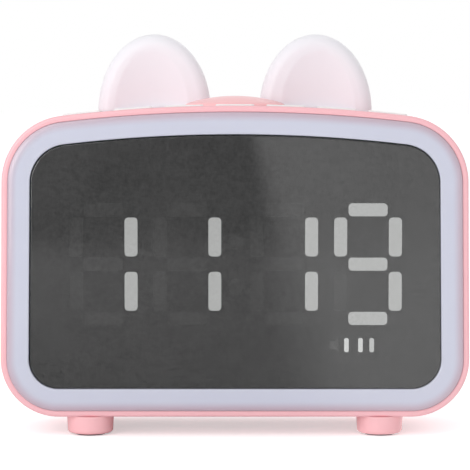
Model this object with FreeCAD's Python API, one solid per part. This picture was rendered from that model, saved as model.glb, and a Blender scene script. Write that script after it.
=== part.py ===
import FreeCAD, Part

import math
import os

# Alarm clock with a mirror display, a light ring, two lit ears and a row of keys.
# Millimetres. X to the right, Y to the back, Z up, origin on the table under the middle.

# Outline of the body, seen from the front
BODY_WIDTH = 150.0
BODY_TOP_WIDTH = 148.8
BODY_TOP_Z = 105.8
TOP_ARC_RADIUS = 475.0
TOP_CORNER_RADIUS = 21.5
BOTTOM_CORNER_RADIUS = 18.5
WALL = 2.0
RIM_ROUND = 0.9
BACK_ROUND = 2.8
COVER_DEPTH = 3.5
COVER_WALL = 2.2

# Front stack: ring, mirror, segment block and the boards behind them
RING_PROUD = 0.8
RING_WIDTH = 7.0
RING_ROUND = 2.2
RING_SKIRT = 1.5
RING_FACE = 2.0
RING_BOARD_THICKNESS = 1.2
MIRROR_RECESS = 0.5
MIRROR_THICKNESS = 2.0
MIRROR_GAP = 0.3
REFLECTOR_DEPTH = 4.4
BOARD_THICKNESS = 1.6
LEDGE_WIDTH = 2.5
LEDGE_DEPTH = 2.0

# Digits on the display
SEGMENT_WIDTH = 4.1
SEGMENT_LENGTH = 12.4
SEGMENT_ROUND = 1.2
DIGIT_PITCH_X = 17.5
DIGIT_ROW_PITCH = 17.4
DIGIT_MIDDLE_Z = 55.2
DIGIT_CENTRES = (-41.98, -15.2, 15.73, 42.5)
COLON_X = 0.25
COLON_SPREAD = 14.5
COLON_DIAMETER = 4.8
BAR_WIDTH = 1.4
BAR_HEIGHT = 4.4
BAR_Z = 29.2
BAR_CENTRES = (35.7, 40.2, 43.8)
ICON_X = 31.8
DIFFUSER_DEPTH = 1.2
LED_HEIGHT = 0.8
LED_SIZE = 2.4
RING_LED_COUNT = 28
DISPLAY_SCREW_INSET = 6.95

# Keys on the top
KEY_COUNT = 7
KEY_WIDTH = 12.5
KEY_DEPTH = 6.0
KEY_PITCH = 16.4
KEY_PROUD = 0.5
KEY_TRAVEL = 0.8
KEY_ROUND = 1.2
KEY_LIP = 0.8
LIP_THICKNESS = 1.0
KEY_SWITCH_SIZE = 5.2
KEY_SWITCH_HEIGHT = 2.6
KEY_STEM_DIAMETER = 3.0
KEY_BOARD_MARGIN = 2.0
KEY_BOARD_BACK_MARGIN = 1.0
KEY_BOARD_ROUND = 1.5

# Snooze button
SNOOZE_WIDTH = 33.0
SNOOZE_DEPTH = 18.0
SNOOZE_PROUD = 3.2
SNOOZE_CROWN_DROP = 2.7
CROWN_FLAT = 0.4
SNOOZE_TRAVEL = 1.5
SNOOZE_WALL = 1.8
SNOOZE_ROUND = 0.8
SNOOZE_STEM_DIAMETER = 5.0
SNOOZE_SWITCH_SIZE = 10.0
SNOOZE_SWITCH_HEIGHT = 3.5
SNOOZE_GAP = 1.9

# Ears
EAR_X = 26.9
EAR_WIDTH = 37.6
EAR_THICKNESS = 9.5
EAR_TOP_Z = 129.5
EAR_CROWN = 25.6
EAR_ROUND = 4.0
EAR_WALL = 1.7
EAR_FRONT_GAP = 1.0
EAR_BACK_LAND = 1.6
EAR_FLANGE = 1.5
SCOOP_HALF_WIDTH = 12.2
SCOOP_TOP_DROP = 4.6
SCOOP_DEPTH = 2.2
SCOOP_ROUND = 1.6
EAR_HOLLOW_ROOM = 1.0
EAR_BOARD_SPREAD = 5.6
EAR_BOARD_INSET = 0.5
EAR_POST_INSET = 2.0
EAR_LED_PITCH = 10.0
EAR_LED_ROOM = 0.3

# Feet
FOOT_HEIGHT = 6.3
FOOT_DIAMETER = 15.1
FOOT_TAPER = 0.25
FOOT_ROUND = 1.3
FOOT_X_FRONT = 46.7
FOOT_X_REAR = 48.6
FOOT_INSET_Y = 8.0
PAD_DIAMETER = 9.5
PAD_THICKNESS = 1.0
PAD_PROUD = 0.5

# Main board with its chips and cans, placed from the board's middle
MAIN_BOARD_WIDTH = 58.0
MAIN_BOARD_HEIGHT = 46.0
MAIN_BOARD_X = 27.0
MAIN_BOARD_Z = 50.0
MAIN_BOARD_ROUND = 2.0
STANDOFF_LENGTH = 6.2
STANDOFF_DIAMETER = 5.0
STANDOFF_MARGIN = 0.5
CHIP_LEFTS = (-6.0, 10.0, 9.0, -17.0)
CHIP_BOTTOMS = (-4.0, 6.0, -12.0, 2.0)
CHIP_WIDTHS = (10.0, 5.0, 5.0, 6.0)
CHIP_HEIGHTS = (10.0, 5.0, 4.0, 4.0)
CHIP_THICKNESSES = (1.4, 1.2, 1.2, 1.4)
CAN_PLACES = (-8.0, -1.0)
CAN_RISE = 14.0
CAN_DIAMETER = 5.0
CAN_HEIGHT = 6.0
SOCKET_LEFTS = (-21.0, -12.0, -3.0)
SOCKET_RISE = 8.0
SOCKET_WIDTH = 6.0
SOCKET_DEPTH = 4.5
SOCKET_HEIGHT = 4.0

# Charging port and power switch in one row at the back, a set distance under the board's middle
PORT_ROW_DROP = 12.0
PORT_ROW_Z = MAIN_BOARD_Z - PORT_ROW_DROP
PORT_SINK = 0.3
USB_WIDTH = 9.0
USB_HEIGHT = 3.2
USB_X = 30.0
USB_SHELL = 0.35
USB_BORE_DEPTH = 6.5
USB_TONGUE_WIDTH = 6.6
USB_TONGUE_THICKNESS = 0.7
USB_TONGUE_SINK = 1.2
SWITCH_X = 48.0
SWITCH_TRAVEL = 2.0
SWITCH_WIDTH = 10.0
SWITCH_HEIGHT = 4.4
SWITCH_DEPTH = 4.0
SWITCH_SLOT_DEPTH = 2.2
SWITCH_SLOT_ROUND = 0.5
KNOB_WIDTH = 2.0
KNOB_HEIGHT = 2.0
KNOB_ROUND = 0.4
KNOB_SINK = 0.4

# Speaker behind its grille
SPEAKER_X = -36.0
SPEAKER_Z = 58.0
SPEAKER_DIAMETER = 32.0
SPEAKER_DEPTH = 9.5
SPEAKER_RIM = 2.2
BASKET_THICKNESS = 0.8
BASKET_WALL = 0.6
FLANGE_THICKNESS = 1.0
CONE_THICKNESS = 0.5
CONE_GAP = 0.2
CONE_CAP_RISE = 1.5
CONE_NECK_GAP = 0.6
CONE_NECK_WALL = 0.6
MAGNET_DIAMETER = 18.0
GASKET_THICKNESS = 0.6
COLLAR_WALL = 1.6
COLLAR_HEIGHT = 2.5
GRILLE_HOLE_DIAMETER = 1.7
GRILLE_PITCH = 3.6
GRILLE_RINGS = 3

# Cell and its cradle on the floor
CELL_DIAMETER = 18.4
CELL_LENGTH = 65.0
CELL_Y = 2.0
CELL_NUB = 0.15
CRADLE_WALL = 1.6
CRADLE_TAB = 7.0
TAB_THICKNESS = 1.6
FLOOR_BOSS_HEIGHT = 3.0

# Ribbons and wires
RIBBON_WIDTH = 8.0
RIBBON_THICKNESS = 0.35
DISPLAY_RIBBON_SAG = 6.0
KEY_RIBBON_SAG = 4.0
KEY_RIBBON_DROP = 3.0
WIRE_DIAMETER = 1.2
WIRE_LOOP = 5.0
SPEAKER_WIRE_INSET = 0.9

# Screws
CASE_SCREW_LENGTH = 10.0
CASE_SCREW_RADIUS = 1.25
CASE_HEAD_RADIUS = 2.2
CASE_HEAD_HEIGHT = 1.5
HEAD_SINK = 0.2
SMALL_SCREW_LENGTH = 3.4
SMALL_SCREW_RADIUS = 0.9
SMALL_HEAD_RADIUS = 1.7
SMALL_HEAD_HEIGHT = 1.1
BOSS_RADIUS = 4.0
BOSS_INSET = 5.65
POST_RADIUS = 2.5

# Clearances, and how far joined pieces run into each other
RING_FIT = 0.1
PLATE_FIT = 0.4
JOINT_DEPTH = 0.5
WINDOW_FIT = 0.1
BUTTON_FIT = 0.3
LIP_GAP = 0.2
PRESS_ROOM = 0.2
EAR_FIT = 0.2
SCREW_FIT = 0.05
TONGUE_WALL = 1.5
TONGUE_FIT = 0.15
SPEAKER_FIT = 0.2
KNOB_FIT = 0.2
CELL_FIT = 0.2
STEM_ENTRY = 0.6
TIP_ROOM = 0.3

Vector = FreeCAD.Vector
ALONG_X = Vector(1, 0, 0)
ALONG_Y = Vector(0, 1, 0)
ALONG_Z = Vector(0, 0, 1)

# Depth stack from front to back. The body is as deep as the pieces along its top need.
display_depth = MIRROR_RECESS + MIRROR_THICKNESS + REFLECTOR_DEPTH
switch_start = BOARD_THICKNESS + PLATE_FIT - (KEY_DEPTH - KEY_SWITCH_SIZE) / 2
key_start = display_depth + max(KEY_LIP + PLATE_FIT, switch_start)
snooze_start = key_start + KEY_DEPTH + SNOOZE_GAP
ear_start = snooze_start + SNOOZE_DEPTH + EAR_FRONT_GAP
parting_depth = ear_start + EAR_THICKNESS + EAR_BACK_LAND
body_depth = parting_depth + COVER_DEPTH

front_y = -body_depth / 2
back_y = body_depth / 2
rim_y = front_y + RING_PROUD
mirror_front_y = front_y + MIRROR_RECESS
mirror_back_y = mirror_front_y + MIRROR_THICKNESS
board_front_y = front_y + display_depth
board_back_y = board_front_y + BOARD_THICKNESS
ring_board_y = board_front_y - RING_BOARD_THICKNESS
key_y = front_y + key_start + KEY_DEPTH / 2
snooze_y = front_y + snooze_start + SNOOZE_DEPTH / 2
ear_front_y = front_y + ear_start
ear_back_y = ear_front_y + EAR_THICKNESS
ear_y = (ear_front_y + ear_back_y) / 2
parting_y = front_y + parting_depth
cover_inner_y = back_y - COVER_WALL

ring_inset = WALL + RING_FIT
ring_inner_inset = ring_inset + RING_WIDTH
mirror_inset = ring_inner_inset + MIRROR_GAP
floor_z = FOOT_HEIGHT + WALL


def arch_z(x, inset):
    """Height of the arched top at x, a distance inset under the outer surface."""
    radius = TOP_ARC_RADIUS - inset
    return BODY_TOP_Z - TOP_ARC_RADIUS + math.sqrt(radius ** 2 - x ** 2)


# Corner centres of the body's outline, on the right side
bottom_corner = (BODY_WIDTH / 2 - BOTTOM_CORNER_RADIUS, FOOT_HEIGHT + BOTTOM_CORNER_RADIUS)
top_corner_x = BODY_TOP_WIDTH / 2 - TOP_CORNER_RADIUS
top_corner = (top_corner_x, arch_z(top_corner_x, TOP_CORNER_RADIUS))

# Outward normal of the straight side that joins the two corner circles
side_run = math.dist(bottom_corner, top_corner)
side_x = (top_corner[0] - bottom_corner[0]) / side_run
side_z = (top_corner[1] - bottom_corner[1]) / side_run
side_lean = (BOTTOM_CORNER_RADIUS - TOP_CORNER_RADIUS) / side_run
side_square = math.sqrt(1 - side_lean ** 2)
side_normal = (side_x * side_lean + side_z * side_square, side_z * side_lean - side_x * side_square)

# Direction from the middle of the top arc to the upper corner's centre
arc_centre_z = BODY_TOP_Z - TOP_ARC_RADIUS
corner_reach = TOP_ARC_RADIUS - TOP_CORNER_RADIUS
arch_end_normal = (top_corner[0] / corner_reach, (top_corner[1] - arc_centre_z) / corner_reach)


def top_z(x, inset):
    """Height of the body's top at x, under the surface: the arch, and past its end the corner."""
    corner_radius = TOP_CORNER_RADIUS - inset
    past_centre = abs(x) - top_corner[0]
    if past_centre <= corner_radius * arch_end_normal[0]:
        return arch_z(x, inset)
    return top_corner[1] + math.sqrt(corner_radius ** 2 - past_centre ** 2)


def unit(a, b):
    """Direction halfway between two directions."""
    length = math.hypot(a[0] + b[0], a[1] + b[1])
    return ((a[0] + b[0]) / length, (a[1] + b[1]) / length)


def on_circle(centre, radius, normal, side, y):
    """Point on a corner circle in a direction; side is -1 for the left half."""
    return Vector(side * (centre[0] + radius * normal[0]), y, centre[1] + radius * normal[1])


def body_outline(inset, y):
    """Closed outline of the body, drawn a distance inset inside the outer one."""
    low = BOTTOM_CORNER_RADIUS - inset
    high = TOP_CORNER_RADIUS - inset
    down = (0.0, -1.0)
    corners = {}
    for side in (-1, 1):
        corners[side] = [
            on_circle(bottom_corner, low, down, side, y),
            on_circle(bottom_corner, low, unit(down, side_normal), side, y),
            on_circle(bottom_corner, low, side_normal, side, y),
            on_circle(top_corner, high, side_normal, side, y),
            on_circle(top_corner, high, unit(side_normal, arch_end_normal), side, y),
            on_circle(top_corner, high, arch_end_normal, side, y),
        ]
    left = corners[-1]
    right = corners[1]
    crown = Vector(0, y, BODY_TOP_Z - inset)
    edges = [
        Part.LineSegment(left[0], right[0]).toShape(),
        Part.Arc(right[0], right[1], right[2]).toShape(),
        Part.LineSegment(right[2], right[3]).toShape(),
        Part.Arc(right[3], right[4], right[5]).toShape(),
        Part.Arc(right[5], crown, left[5]).toShape(),
        Part.Arc(left[5], left[4], left[3]).toShape(),
        Part.LineSegment(left[3], left[2]).toShape(),
        Part.Arc(left[2], left[1], left[0]).toShape(),
    ]
    return Part.Wire(edges)


def slab(inset, y0, y1):
    """Solid of the body's outline between two depths."""
    face = Part.Face(body_outline(inset, y0))
    return face.extrude(Vector(0, y1 - y0, 0))


def frame_ring(outer_inset, inner_inset, y0, y1):
    """Flat frame that follows the body's outline."""
    return slab(outer_inset, y0, y1).cut(slab(inner_inset, y0 - 1, y1 + 1))


def box(x0, x1, y0, y1, z0, z1):
    return Part.makeBox(x1 - x0, y1 - y0, z1 - z0, Vector(x0, y0, z0))


def rod_y(x, z, radius, y0, y1):
    return Part.makeCylinder(radius, y1 - y0, Vector(x, y0, z), ALONG_Y)


def rod_z(x, y, radius, z0, z1):
    return Part.makeCylinder(radius, z1 - z0, Vector(x, y, z0), ALONG_Z)


def ellipse_post(x, y, half_x, half_y, z0, z1):
    """Upright post with an elliptical section."""
    if half_x >= half_y:
        curve = Part.Ellipse(Vector(x + half_x, y, z0), Vector(x, y + half_y, z0), Vector(x, y, z0))
    else:
        curve = Part.Ellipse(Vector(x, y + half_y, z0), Vector(x + half_x, y, z0), Vector(x, y, z0))
    face = Part.Face(Part.Wire(curve.toShape()))
    post = face.extrude(Vector(0, 0, z1 - z0))
    return post


def round_edges(solid, radius, chosen):
    """Fillet the edges that the test picks."""
    edges = [edge for edge in solid.Edges if chosen(edge)]
    return solid.makeFillet(radius, edges).Solids[0]


def lies_at_y(y):
    def chosen(edge):
        return abs(edge.BoundBox.YMin - y) < 1e-4 and abs(edge.BoundBox.YMax - y) < 1e-4
    return chosen


def is_upright(edge):
    room = edge.BoundBox
    return room.XLength < 1e-4 and room.YLength < 1e-4 and room.ZLength > 1e-3


def is_deep(edge):
    room = edge.BoundBox
    return room.XLength < 1e-4 and room.ZLength < 1e-4 and room.YLength > 1e-3


def join(shapes):
    """One solid from pieces that run into each other."""
    solid = shapes[0].multiFuse(shapes[1:])
    return solid.removeSplitter().Solids[0]


def save(name, solids):
    """Write one node; like pieces go together as separate solids."""
    shape = solids if isinstance(solids, Part.Shape) else Part.Compound(solids)
    shape.exportStep(f"parts/{name}.step")


def screw(position, direction, length, radius, head_radius, head_height):
    """Pan-head screw with a cross slot. The head's seat is at position, the tip along direction."""
    head = Part.makeCylinder(head_radius, head_height, Vector(0, 0, -head_height), ALONG_Z)
    head = round_edges(head, head_height * 0.45, lambda edge: edge.BoundBox.ZMax < -head_height + 1e-4)
    shank = Part.makeCylinder(radius, length, Vector(0, 0, 0), ALONG_Z)
    slot_half = head_radius * 0.62
    slot_wide = head_radius * 0.14
    slot_top = -head_height - 0.1
    slot_floor = -head_height * 0.45
    solid = join([head, shank])
    for half_x, half_y in ((slot_half, slot_wide), (slot_wide, slot_half)):
        solid = solid.cut(box(-half_x, half_x, -half_y, half_y, slot_top, slot_floor))
    solid.Placement = FreeCAD.Placement(position, FreeCAD.Rotation(ALONG_Z, direction))
    return solid


def case_screw(position, direction):
    return screw(position, direction, CASE_SCREW_LENGTH, CASE_SCREW_RADIUS, CASE_HEAD_RADIUS,
                 CASE_HEAD_HEIGHT)


def small_screw(position, direction):
    return screw(position, direction, SMALL_SCREW_LENGTH, SMALL_SCREW_RADIUS, SMALL_HEAD_RADIUS,
                 SMALL_HEAD_HEIGHT)


# Key and switch heights. The board is flat, so the lowest, outermost key sets its height.
key_centres = [(i - (KEY_COUNT - 1) / 2) * KEY_PITCH for i in range(KEY_COUNT)]
lip_top_inset = WALL + LIP_GAP
lip_bottom_inset = lip_top_inset + LIP_THICKNESS
last_key_edge = key_centres[-1] + KEY_WIDTH / 2 + KEY_LIP
key_switch_top = top_z(last_key_edge, lip_bottom_inset) - KEY_TRAVEL - LIP_GAP
key_board_top = key_switch_top - KEY_SWITCH_HEIGHT
key_board_bottom = key_board_top - BOARD_THICKNESS
key_stem_bottom = key_switch_top - STEM_ENTRY
snooze_switch_top = key_board_top + SNOOZE_SWITCH_HEIGHT
snooze_stem_bottom = snooze_switch_top - STEM_ENTRY
key_board_front_y = board_back_y + PLATE_FIT
key_board_back_y = snooze_y + SNOOZE_SWITCH_SIZE / 2 + KEY_BOARD_BACK_MARGIN
key_board_half = last_key_edge + KEY_BOARD_MARGIN
key_post_places = [
    (side * x, y)
    for side in (-1, 1)
    for x, y in (
        (SNOOZE_WIDTH / 2 + 2 * POST_RADIUS + KEY_LIP, snooze_y - SNOOZE_DEPTH / 2 + POST_RADIUS),
        (last_key_edge - POST_RADIUS, snooze_y - SNOOZE_DEPTH / 2 + POST_RADIUS),
    )
]

# Screw places at the four corners, behind the middle of the ring. They lie on the diagonals of
# the corner circles. Where the key board would reach over the upper ones, these go under it.
diagonal = math.sqrt(0.5)
upper_reach = TOP_CORNER_RADIUS - BOSS_INSET
lower_reach = (BOTTOM_CORNER_RADIUS - BOSS_INSET) * diagonal
upper_rise = upper_reach * diagonal
if top_corner[0] + upper_rise - BOSS_RADIUS < key_board_half + PLATE_FIT:
    upper_rise = key_board_bottom - SMALL_HEAD_HEIGHT - PLATE_FIT - BOSS_RADIUS - top_corner[1]
upper_run = math.sqrt(upper_reach ** 2 - upper_rise ** 2)
corner_places = []
for side in (-1, 1):
    corner_places.append((side * (top_corner[0] + upper_run), top_corner[1] + upper_rise))
    corner_places.append((side * (bottom_corner[0] + lower_reach), bottom_corner[1] - lower_reach))

# Ear seat under the top wall
ear_outer_x = EAR_X + EAR_WIDTH / 2 + EAR_FLANGE
ear_flange_top = top_z(ear_outer_x, WALL + LIP_GAP)
ear_flange_bottom = ear_flange_top - EAR_FLANGE
ear_board_bottom = ear_flange_bottom - BOARD_THICKNESS
ear_board_half = ear_outer_x + EAR_BOARD_SPREAD
ear_post_places = [0.0, EAR_POST_INSET - ear_board_half, ear_board_half - EAR_POST_INSET]

# Feet stand a set distance in from the front and back faces of the tub
foot_places = []
for side in (-1, 1):
    foot_places.append((side * FOOT_X_FRONT, front_y + FOOT_INSET_Y))
    foot_places.append((side * FOOT_X_REAR, parting_y - FOOT_INSET_Y))
foot_screw_seat_z = PAD_THICKNESS + CASE_HEAD_HEIGHT
foot_screw_length = floor_z - RING_FIT - foot_screw_seat_z

# The rear cover's screws seat at the bottom of their counterbores
cover_screw_seat_y = back_y - CASE_HEAD_HEIGHT - HEAD_SINK
cover_seam_y = cover_inner_y + JOINT_DEPTH

# The cell lies in its cradle on the floor
cradle_half = CELL_LENGTH / 2 + CELL_FIT + CRADLE_WALL
cradle_screw_x = cradle_half + CRADLE_TAB / 2
cradle_tab_z = floor_z + FLOOR_BOSS_HEIGHT
cell_z = floor_z + CRADLE_WALL + CELL_FIT + CELL_DIAMETER / 2

# Main board on the cover's standoffs, and the switch and the sockets on it
gasket_y = cover_inner_y - GASKET_THICKNESS
main_board_back_y = cover_inner_y - STANDOFF_LENGTH
main_board_front_y = main_board_back_y - BOARD_THICKNESS
standoff_inset = STANDOFF_DIAMETER / 2 + STANDOFF_MARGIN
main_board_places = [
    (MAIN_BOARD_X + sx * (MAIN_BOARD_WIDTH / 2 - standoff_inset),
     MAIN_BOARD_Z + sz * (MAIN_BOARD_HEIGHT / 2 - standoff_inset))
    for sx in (-1, 1)
    for sz in (-1, 1)
]
socket_z = MAIN_BOARD_Z - MAIN_BOARD_HEIGHT / 2 + SOCKET_RISE
switch_body_top_y = main_board_back_y + SWITCH_DEPTH
knob_tip_y = back_y - KNOB_SINK

# The segment block is screwed to its board above and below the digits, in from its narrower end
display_screw_x = min(BODY_WIDTH, BODY_TOP_WIDTH) / 2 - mirror_inset - DISPLAY_SCREW_INSET
display_screw_z = DIGIT_ROW_PITCH + SEGMENT_LENGTH
display_screw_places = [
    (x, DIGIT_MIDDLE_Z + sz * display_screw_z)
    for x in (-display_screw_x, COLON_X, display_screw_x)
    for sz in (-1, 1)
]


def key_hole(x):
    half_x = KEY_WIDTH / 2 + BUTTON_FIT
    half_y = KEY_DEPTH / 2 + BUTTON_FIT
    low = top_z(last_key_edge, WALL) - 1
    hole = box(x - half_x, x + half_x, key_y - half_y, key_y + half_y, low, BODY_TOP_Z + 1)
    return round_edges(hole, KEY_ROUND + BUTTON_FIT, is_upright)


def ear_slot(x):
    half_x = EAR_WIDTH / 2 + EAR_FIT
    low = ear_flange_top
    slot = box(x - half_x, x + half_x, ear_front_y - EAR_FIT, ear_back_y + EAR_FIT, low, BODY_TOP_Z + 1)
    return round_edges(slot, EAR_ROUND + EAR_FIT, is_upright)


def make_front_shell():
    """Pink tub with the rim, the screw bosses and the openings on the top."""
    shell = slab(0, rim_y, parting_y)
    shell = round_edges(shell, RIM_ROUND, lies_at_y(rim_y))
    shell = shell.cut(slab(WALL, rim_y - 1, parting_y + 1))
    pieces = [shell]
    ledge = frame_ring(WALL - JOINT_DEPTH, WALL + LEDGE_WIDTH, board_front_y, board_front_y + LEDGE_DEPTH)
    ledge = ledge.cut(box(-BODY_WIDTH, BODY_WIDTH, front_y, back_y, top_corner[1], BODY_TOP_Z))
    pieces.append(ledge)
    for x, z in corner_places:
        pieces.append(rod_y(x, z, BOSS_RADIUS, board_front_y, parting_y))
    inside = slab(WALL / 2, front_y, back_y)
    for x, y in key_post_places:
        pieces.append(rod_z(x, y, POST_RADIUS, key_board_top, BODY_TOP_Z).common(inside))
    for x in ear_post_places:
        pieces.append(rod_z(x, ear_y, POST_RADIUS, ear_flange_bottom, BODY_TOP_Z).common(inside))
    for tab_x in (-cradle_screw_x, cradle_screw_x):
        pieces.append(rod_z(tab_x, CELL_Y, POST_RADIUS, FOOT_HEIGHT + WALL / 2, cradle_tab_z))
    shell = join(pieces)
    tools = [key_hole(x) for x in key_centres]
    tools.append(ellipse_post(0, snooze_y, SNOOZE_WIDTH / 2 + BUTTON_FIT, SNOOZE_DEPTH / 2 + BUTTON_FIT,
                              key_board_top, BODY_TOP_Z + 1))
    tools += [ear_slot(-EAR_X), ear_slot(EAR_X)]
    pilot = CASE_SCREW_RADIUS + SCREW_FIT
    small_pilot = SMALL_SCREW_RADIUS + SCREW_FIT
    for x, z in corner_places:
        tools.append(rod_y(x, z, pilot, cover_screw_seat_y - CASE_SCREW_LENGTH - TIP_ROOM, parting_y + 1))
        tools.append(rod_y(x, z, small_pilot, board_front_y - 1, board_front_y + SMALL_SCREW_LENGTH))
    small_reach = SMALL_SCREW_LENGTH + TIP_ROOM
    for x, y in key_post_places:
        tools.append(rod_z(x, y, small_pilot, key_board_top - 1, key_board_bottom + small_reach))
    for x in ear_post_places:
        tools.append(rod_z(x, ear_y, small_pilot, ear_board_bottom, ear_board_bottom + small_reach))
    for tab_x in (-cradle_screw_x, cradle_screw_x):
        tools.append(rod_z(tab_x, CELL_Y, small_pilot, cradle_tab_z + TAB_THICKNESS - small_reach,
                           cradle_tab_z + 1))
    for x, y in foot_places:
        tools.append(rod_z(x, y, pilot, FOOT_HEIGHT - 1, floor_z + 1))
    return shell.cut(tools)


def make_rear_cover():
    """Back panel with a locating tongue, speaker grille, port openings and board standoffs."""
    cover = slab(0, parting_y, back_y)
    cover = round_edges(cover, BACK_ROUND, lies_at_y(back_y))
    cover = cover.cut(slab(WALL, parting_y - 1, cover_inner_y))
    tongue_inset = WALL + TONGUE_FIT
    tongue = frame_ring(tongue_inset, tongue_inset + TONGUE_WALL, parting_y - WALL, cover_seam_y)
    ear_room = ear_outer_x + WALL
    clear_ears = box(-ear_room, ear_room, front_y, back_y, ear_board_bottom, BODY_TOP_Z + 1)
    tongue = tongue.cut(clear_ears)
    for x, z in corner_places:
        tongue = tongue.cut(rod_y(x, z, BOSS_RADIUS + PLATE_FIT, front_y, parting_y))
    pieces = [cover, tongue]
    for x, z in corner_places:
        pieces.append(rod_y(x, z, BOSS_RADIUS, parting_y, cover_seam_y))
    for x, z in main_board_places:
        pieces.append(rod_y(x, z, STANDOFF_DIAMETER / 2, main_board_back_y, cover_seam_y))
    bore_radius = SPEAKER_DIAMETER / 2 + SPEAKER_FIT
    collar_y = gasket_y - COLLAR_HEIGHT
    collar = rod_y(SPEAKER_X, SPEAKER_Z, bore_radius + COLLAR_WALL, collar_y, cover_seam_y)
    bore = rod_y(SPEAKER_X, SPEAKER_Z, bore_radius, collar_y - 1, cover_inner_y)
    pieces.append(collar.cut(bore))
    cover = join(pieces)
    tools = []
    for x, z in corner_places:
        tools.append(rod_y(x, z, CASE_SCREW_RADIUS + SCREW_FIT, parting_y - 1, back_y + 1))
        tools.append(rod_y(x, z, CASE_HEAD_RADIUS + PLATE_FIT / 2, cover_screw_seat_y, back_y + 1))
    for x, z in main_board_places:
        reach = main_board_front_y + SMALL_SCREW_LENGTH + TIP_ROOM
        tools.append(rod_y(x, z, SMALL_SCREW_RADIUS + SCREW_FIT, main_board_front_y, reach))
    for x, z in grille_places():
        tools.append(rod_y(x, z, GRILLE_HOLE_DIAMETER / 2, cover_inner_y - 1, back_y + 1))
    port = box(USB_X - USB_WIDTH / 2 - BUTTON_FIT, USB_X + USB_WIDTH / 2 + BUTTON_FIT, cover_inner_y - 1,
               back_y + 1, PORT_ROW_Z - USB_HEIGHT / 2 - BUTTON_FIT, PORT_ROW_Z + USB_HEIGHT / 2 + BUTTON_FIT)
    tools.append(round_edges(port, USB_HEIGHT / 2 + BUTTON_FIT - 0.1, is_deep))
    slot_half = KNOB_WIDTH / 2 + BUTTON_FIT
    slot_half_z = KNOB_HEIGHT / 2 + BUTTON_FIT
    slot = box(SWITCH_X - slot_half, SWITCH_X + slot_half + SWITCH_TRAVEL, cover_inner_y - 1, back_y + 1,
               PORT_ROW_Z - slot_half_z, PORT_ROW_Z + slot_half_z)
    tools.append(round_edges(slot, SWITCH_SLOT_ROUND, is_deep))
    return cover.cut(tools)


def grille_places():
    """Hole centres of the speaker grille: one in the middle and rings of six more each."""
    places = [(SPEAKER_X, SPEAKER_Z)]
    for ring in range(1, GRILLE_RINGS + 1):
        for i in range(6 * ring):
            angle = 2 * math.pi * i / (6 * ring)
            places.append((SPEAKER_X + ring * GRILLE_PITCH * math.cos(angle),
                           SPEAKER_Z + ring * GRILLE_PITCH * math.sin(angle)))
    return places


def make_light_ring():
    """Milky channel that frames the mirror; its hollow back holds the ring's lamps."""
    ring = slab(ring_inset, front_y, ring_board_y)
    ring = round_edges(ring, RING_ROUND, lies_at_y(front_y))
    ring = ring.cut(slab(ring_inner_inset, front_y - 1, ring_board_y + 1))
    inner_rim = body_outline(ring_inner_inset, front_y)
    reach = inner_rim.BoundBox.XMax + 0.01
    ring = round_edges(ring, MIRROR_RECESS, lambda edge: lies_at_y(front_y)(edge)
                       and edge.BoundBox.XMax < reach and edge.BoundBox.ZMax < inner_rim.BoundBox.ZMax + 0.01
                       and edge.BoundBox.ZMin > inner_rim.BoundBox.ZMin - 0.01)
    channel = frame_ring(ring_inset + RING_SKIRT, ring_inner_inset - RING_SKIRT,
                         front_y + RING_FACE, ring_board_y + 1)
    return ring.cut(channel)


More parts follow.
